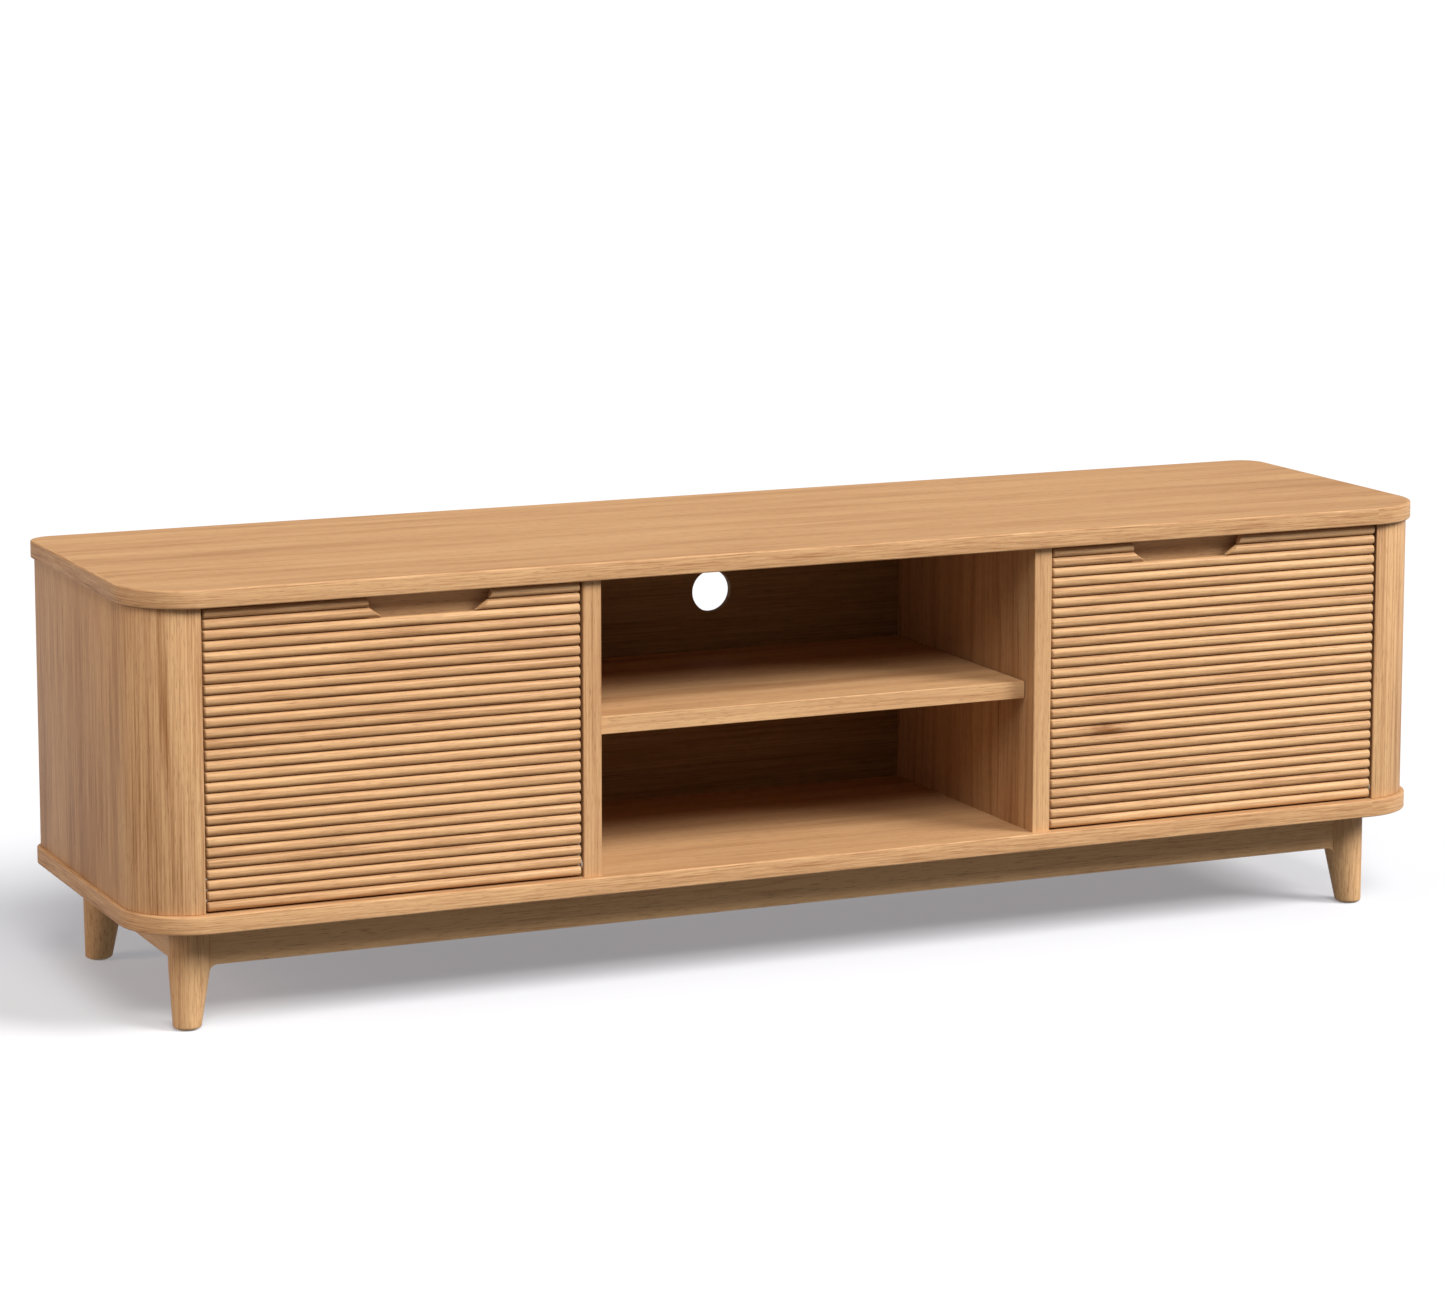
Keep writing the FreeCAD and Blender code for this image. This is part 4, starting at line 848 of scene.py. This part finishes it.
class CABINET_OT_aprons(bpy.types.Operator):
    """Front, rear and side aprons, curved down into the legs"""
    bl_idname = "cabinet.aprons"
    bl_label = "Aprons"

    def execute(self, context):
        # solid oak, planed and lacquered: grain along each apron; a strong lift makes it lighter
        # as painted light, in place of the light that the floor doesn't throw up under the cabinet
        wood = oak("oak_apron_lacquered_painted_light", "UV", shift=(1700, 0, 40), pith=40, ring=6,
                   figure=0.3, streaks=0.95, bands=0.4, lift=0.36, run=90)
        for node, along, inward in (("front_apron", 0, 1), ("rear_apron", 0, -1),
                                    ("left_side_apron", 1, 1), ("right_side_apron", 1, -1)):
            apron(node, along, inward, wood)
        return {"FINISHED"}


# ---------------------------------------------------------------- pieces carried over
class CABINET_OT_boards(bpy.types.Operator):
    """Finishes of the boards, rails, blocks and dowels that keep their designed shape"""
    bl_idname = "cabinet.boards"
    bl_label = "Boards and rails"

    def execute(self, context):
        # dividers: straight-grained oak, planed and lacquered, grain upright
        finish_nodes([side + "_divider" for side in SIDES],
                     oak("oak_divider_lacquered", "Z", shift=(140, 0, 60), pith=55, ring=6,
                         figure=0.4, streaks=0.6, bands=0.35, lift=0.02))
        # shelf: crown-cut oak, lacquered, grain along its length
        finish_nodes(["middle_shelf"],
                     oak("oak_shelf_lacquered", "X", shift=(500, 20, 0), pith=60, ring=8,
                         figure=0.4, streaks=0.6, bands=0.4))
        # back panels: oak-veneered board, lacquered duller; their colour is darkened and greyed as
        # painted shade, so that the bay reads deep
        finish_nodes(["centre_back_panel", "left_back_panel", "right_back_panel"],
                     oak("oak_back_veneer_painted_shade", "X", shift=(900, 0, 300), pith=50, ring=9,
                         figure=0.15, streaks=0.5, bands=0.35, lift=-0.3, rough=0.15,
                         painted_shade_tint="#cfcfbc"))
        # flap boards: oak-veneered board behind the battens, lifted lighter as painted light where
        # it shows in the finger pull
        finish_nodes([side + "_flap_board" for side in SIDES],
                     oak("oak_flap_veneer_painted_light", "X", shift=(1300, 0, 100), pith=50, ring=7,
                         figure=0.3, streaks=0.6, bands=0.4, lift=0.1))
        # rails and tenons run front to back, dowels mostly upright
        finish_nodes([side + "_cross_rail" for side in SIDES] + ["base_tenons"],
                     beech("beech_planed_rail", "Y"))
        finish_nodes(["corner_blocks", "carcass_dowels"], beech("beech_planed_block", "X"))
        return {"FINISHED"}


class CABINET_OT_fittings(bpy.types.Operator):
    """Finishes of the metal, nylon, plastic and magnet pieces"""
    bl_idname = "cabinet.fittings"
    bl_label = "Fittings"

    def execute(self, context):
        finish = context.scene.cabinet_finish
        # nickel-plated steel, stamped and barrel-plated: warm and bright
        nickel = plated("nickel_plated_steel", finish.nickel, 0.28, linear("#b5ac9a"), 0.6)
        # zinc-plated steel, bright: cooler, with a faint blue passivate
        zinc = plated("zinc_plated_steel", finish.zinc, 0.36, linear("#a9b3bf"), 0.5)
        # nylon, moulded: milky and slightly soft
        nylon = moulded("nylon_moulded", finish.nylon, linear("#d8d0bd"), 0.5, 0.8, 1.53)
        # ABS, moulded with a spark-eroded texture
        plastic = moulded("abs_moulded", finish.plastic, linear("#5d412b"), 0.55, 0.5, 1.54)
        # ferrite, sintered and ground: dull charcoal
        ferrite = moulded("ferrite_sintered", finish.ferrite, linear("#38373a"), 0.65, 0.7)
        parts = ("stay_plate", "guide_stud", "pivot_plates", "pivot_pins", "stay_bracket",
                 "arm_rivet", "strike_plate", "stay_arm")
        finish_nodes([side + "_" + part for side in SIDES for part in parts] + ["shelf_pins"],
                     nickel)
        finish_nodes(["carcass_fitting_screws", "corner_block_screws", "hanger_bolts",
                      "hanger_nuts", "left_flap_screws", "right_flap_screws"], zinc)
        finish_nodes(["flap_pivot_bushes", "leg_glides"], nylon)
        finish_nodes(["catch_bodies"], plastic)
        finish_nodes(["catch_magnets"], ferrite)
        return {"FINISHED"}


# ---------------------------------------------------------------- stage
FLOOR_HALF = 90.0
CAMERA_PLACE = (-2.1326, -4.7383, 1.2786)
CAMERA_YAW = 0.4174          # radians from +Y towards +X
CAMERA_PITCH = 0.1488        # radians below the horizon
CAMERA_LENS_MM = 113.01
CAMERA_SHIFT_Y = -0.1003


class CABINET_OT_stage(bpy.types.Operator):
    """Pale floor, soft studio light and camera"""
    bl_idname = "cabinet.stage"
    bl_label = "Stage"

    def execute(self, context):
        stage = context.scene.cabinet_stage
        corners = np.array([(-1, -1, 0), (1, -1, 0), (1, 1, 0), (-1, 1, 0)], float) * FLOOR_HALF
        mesh = bpy.data.meshes.new("floor")
        mesh.from_pydata(corners, [], [(0, 1, 2, 3)])
        floor = bpy.data.objects.new("floor", mesh)
        context.scene.collection.objects.link(floor)
        # matt painted floor: an even pale grey with clouds 900 mm across, barely seen
        material, tree, placed = start_material("painted_floor_matt")
        cloud = stretched(tree, placed, 900, 900, 2)
        paint = add(tree, "ShaderNodeMix", {"Factor": cloud, 6: stage.floor, 7: linear("#cbcbcd")},
                    output=2, data_type="RGBA")
        matt = add(tree, "ShaderNodeBsdfPrincipled",
                   {"Base Color": paint, "Roughness": 0.7, "Specular IOR Level": 0.2,
                    "Emission Color": linear("#f2f6ff"), "Emission Strength": stage.floor_glow})
        add(tree, "ShaderNodeOutputMaterial", {"Surface": matt})
        mesh.materials.append(material)
        # the floor throws no light up, so the bay and the grooves stay dark, and the aprons too
        floor.visible_diffuse = False

        world = bpy.data.worlds.new("studio")
        world.use_nodes = True
        background = world.node_tree.nodes["Background"]
        background.inputs["Color"].default_value = stage.sky
        background.inputs["Strength"].default_value = stage.sky_strength
        context.scene.world = world

        for name, strength, direction, tint in (
                ("key", stage.key_strength, stage.key_direction, stage.sky),
                ("front", stage.front_strength, stage.front_direction, stage.sky),
                ("fill", stage.fill_strength, stage.fill_direction, stage.fill_tint)):
            lamp = bpy.data.lights.new(name, "SUN")
            lamp.energy = strength
            lamp.color = tint[:3]
            lamp.angle = stage.key_angle
            light = bpy.data.objects.new(name, lamp)
            light.rotation_mode = "QUATERNION"
            light.rotation_quaternion = Vector(direction).to_track_quat("Z", "Y")
            context.scene.collection.objects.link(light)

        camera = bpy.data.objects.new("camera", bpy.data.cameras.new("camera"))
        camera.data.lens = CAMERA_LENS_MM
        camera.data.shift_y = CAMERA_SHIFT_Y
        camera.data.clip_end = 2 * FLOOR_HALF
        ahead = Vector((math.sin(CAMERA_YAW) * math.cos(CAMERA_PITCH),
                        math.cos(CAMERA_YAW) * math.cos(CAMERA_PITCH), -math.sin(CAMERA_PITCH)))
        camera.matrix_world = (Matrix.Translation(CAMERA_PLACE)
                               @ ahead.to_track_quat("-Z", "Y").to_matrix().to_4x4())
        context.scene.collection.objects.link(camera)
        context.scene.camera = camera
        context.scene.view_settings.view_transform = "Standard"
        return {"FINISHED"}


# ---------------------------------------------------------------- the add-on
OPERATORS = (CABINET_OT_panels, CABINET_OT_sides, CABINET_OT_battens, CABINET_OT_legs,
             CABINET_OT_aprons, CABINET_OT_boards, CABINET_OT_fittings, CABINET_OT_stage)
SETTINGS = (("cabinet_shape", CabinetShape), ("cabinet_finish", CabinetFinish),
            ("cabinet_stage", CabinetStage))


class CABINET_PT_sidebar(bpy.types.Panel):
    """Sizes, colours and build steps of the cabinet"""
    bl_idname = "CABINET_PT_sidebar"
    bl_label = "Media cabinet"
    bl_space_type = "VIEW_3D"
    bl_region_type = "UI"
    bl_category = "Cabinet"

    def draw(self, context):
        for name, group in SETTINGS:
            box = self.layout.box()
            for field in group.__annotations__:
                box.prop(getattr(context.scene, name), field)
        for operator in OPERATORS:
            self.layout.operator(operator.bl_idname)


def register():
    for _, group in SETTINGS:
        bpy.utils.register_class(group)
    for cls in (*OPERATORS, CABINET_PT_sidebar):
        bpy.utils.register_class(cls)
    for name, group in SETTINGS:
        setattr(bpy.types.Scene, name, bpy.props.PointerProperty(type=group))


def unregister():
    for name, _ in SETTINGS:
        delattr(bpy.types.Scene, name)
    for cls in (CABINET_PT_sidebar, *reversed(OPERATORS)):
        bpy.utils.unregister_class(cls)
    for _, group in reversed(SETTINGS):
        bpy.utils.unregister_class(group)


def main():
    register()
    for operator in OPERATORS:
        module, name = operator.bl_idname.split(".")
        result = getattr(getattr(bpy.ops, module), name)()
        if result != {"FINISHED"}:
            raise RuntimeError(operator.bl_label + " wasn't built")


if __name__ == "__main__":
    main()
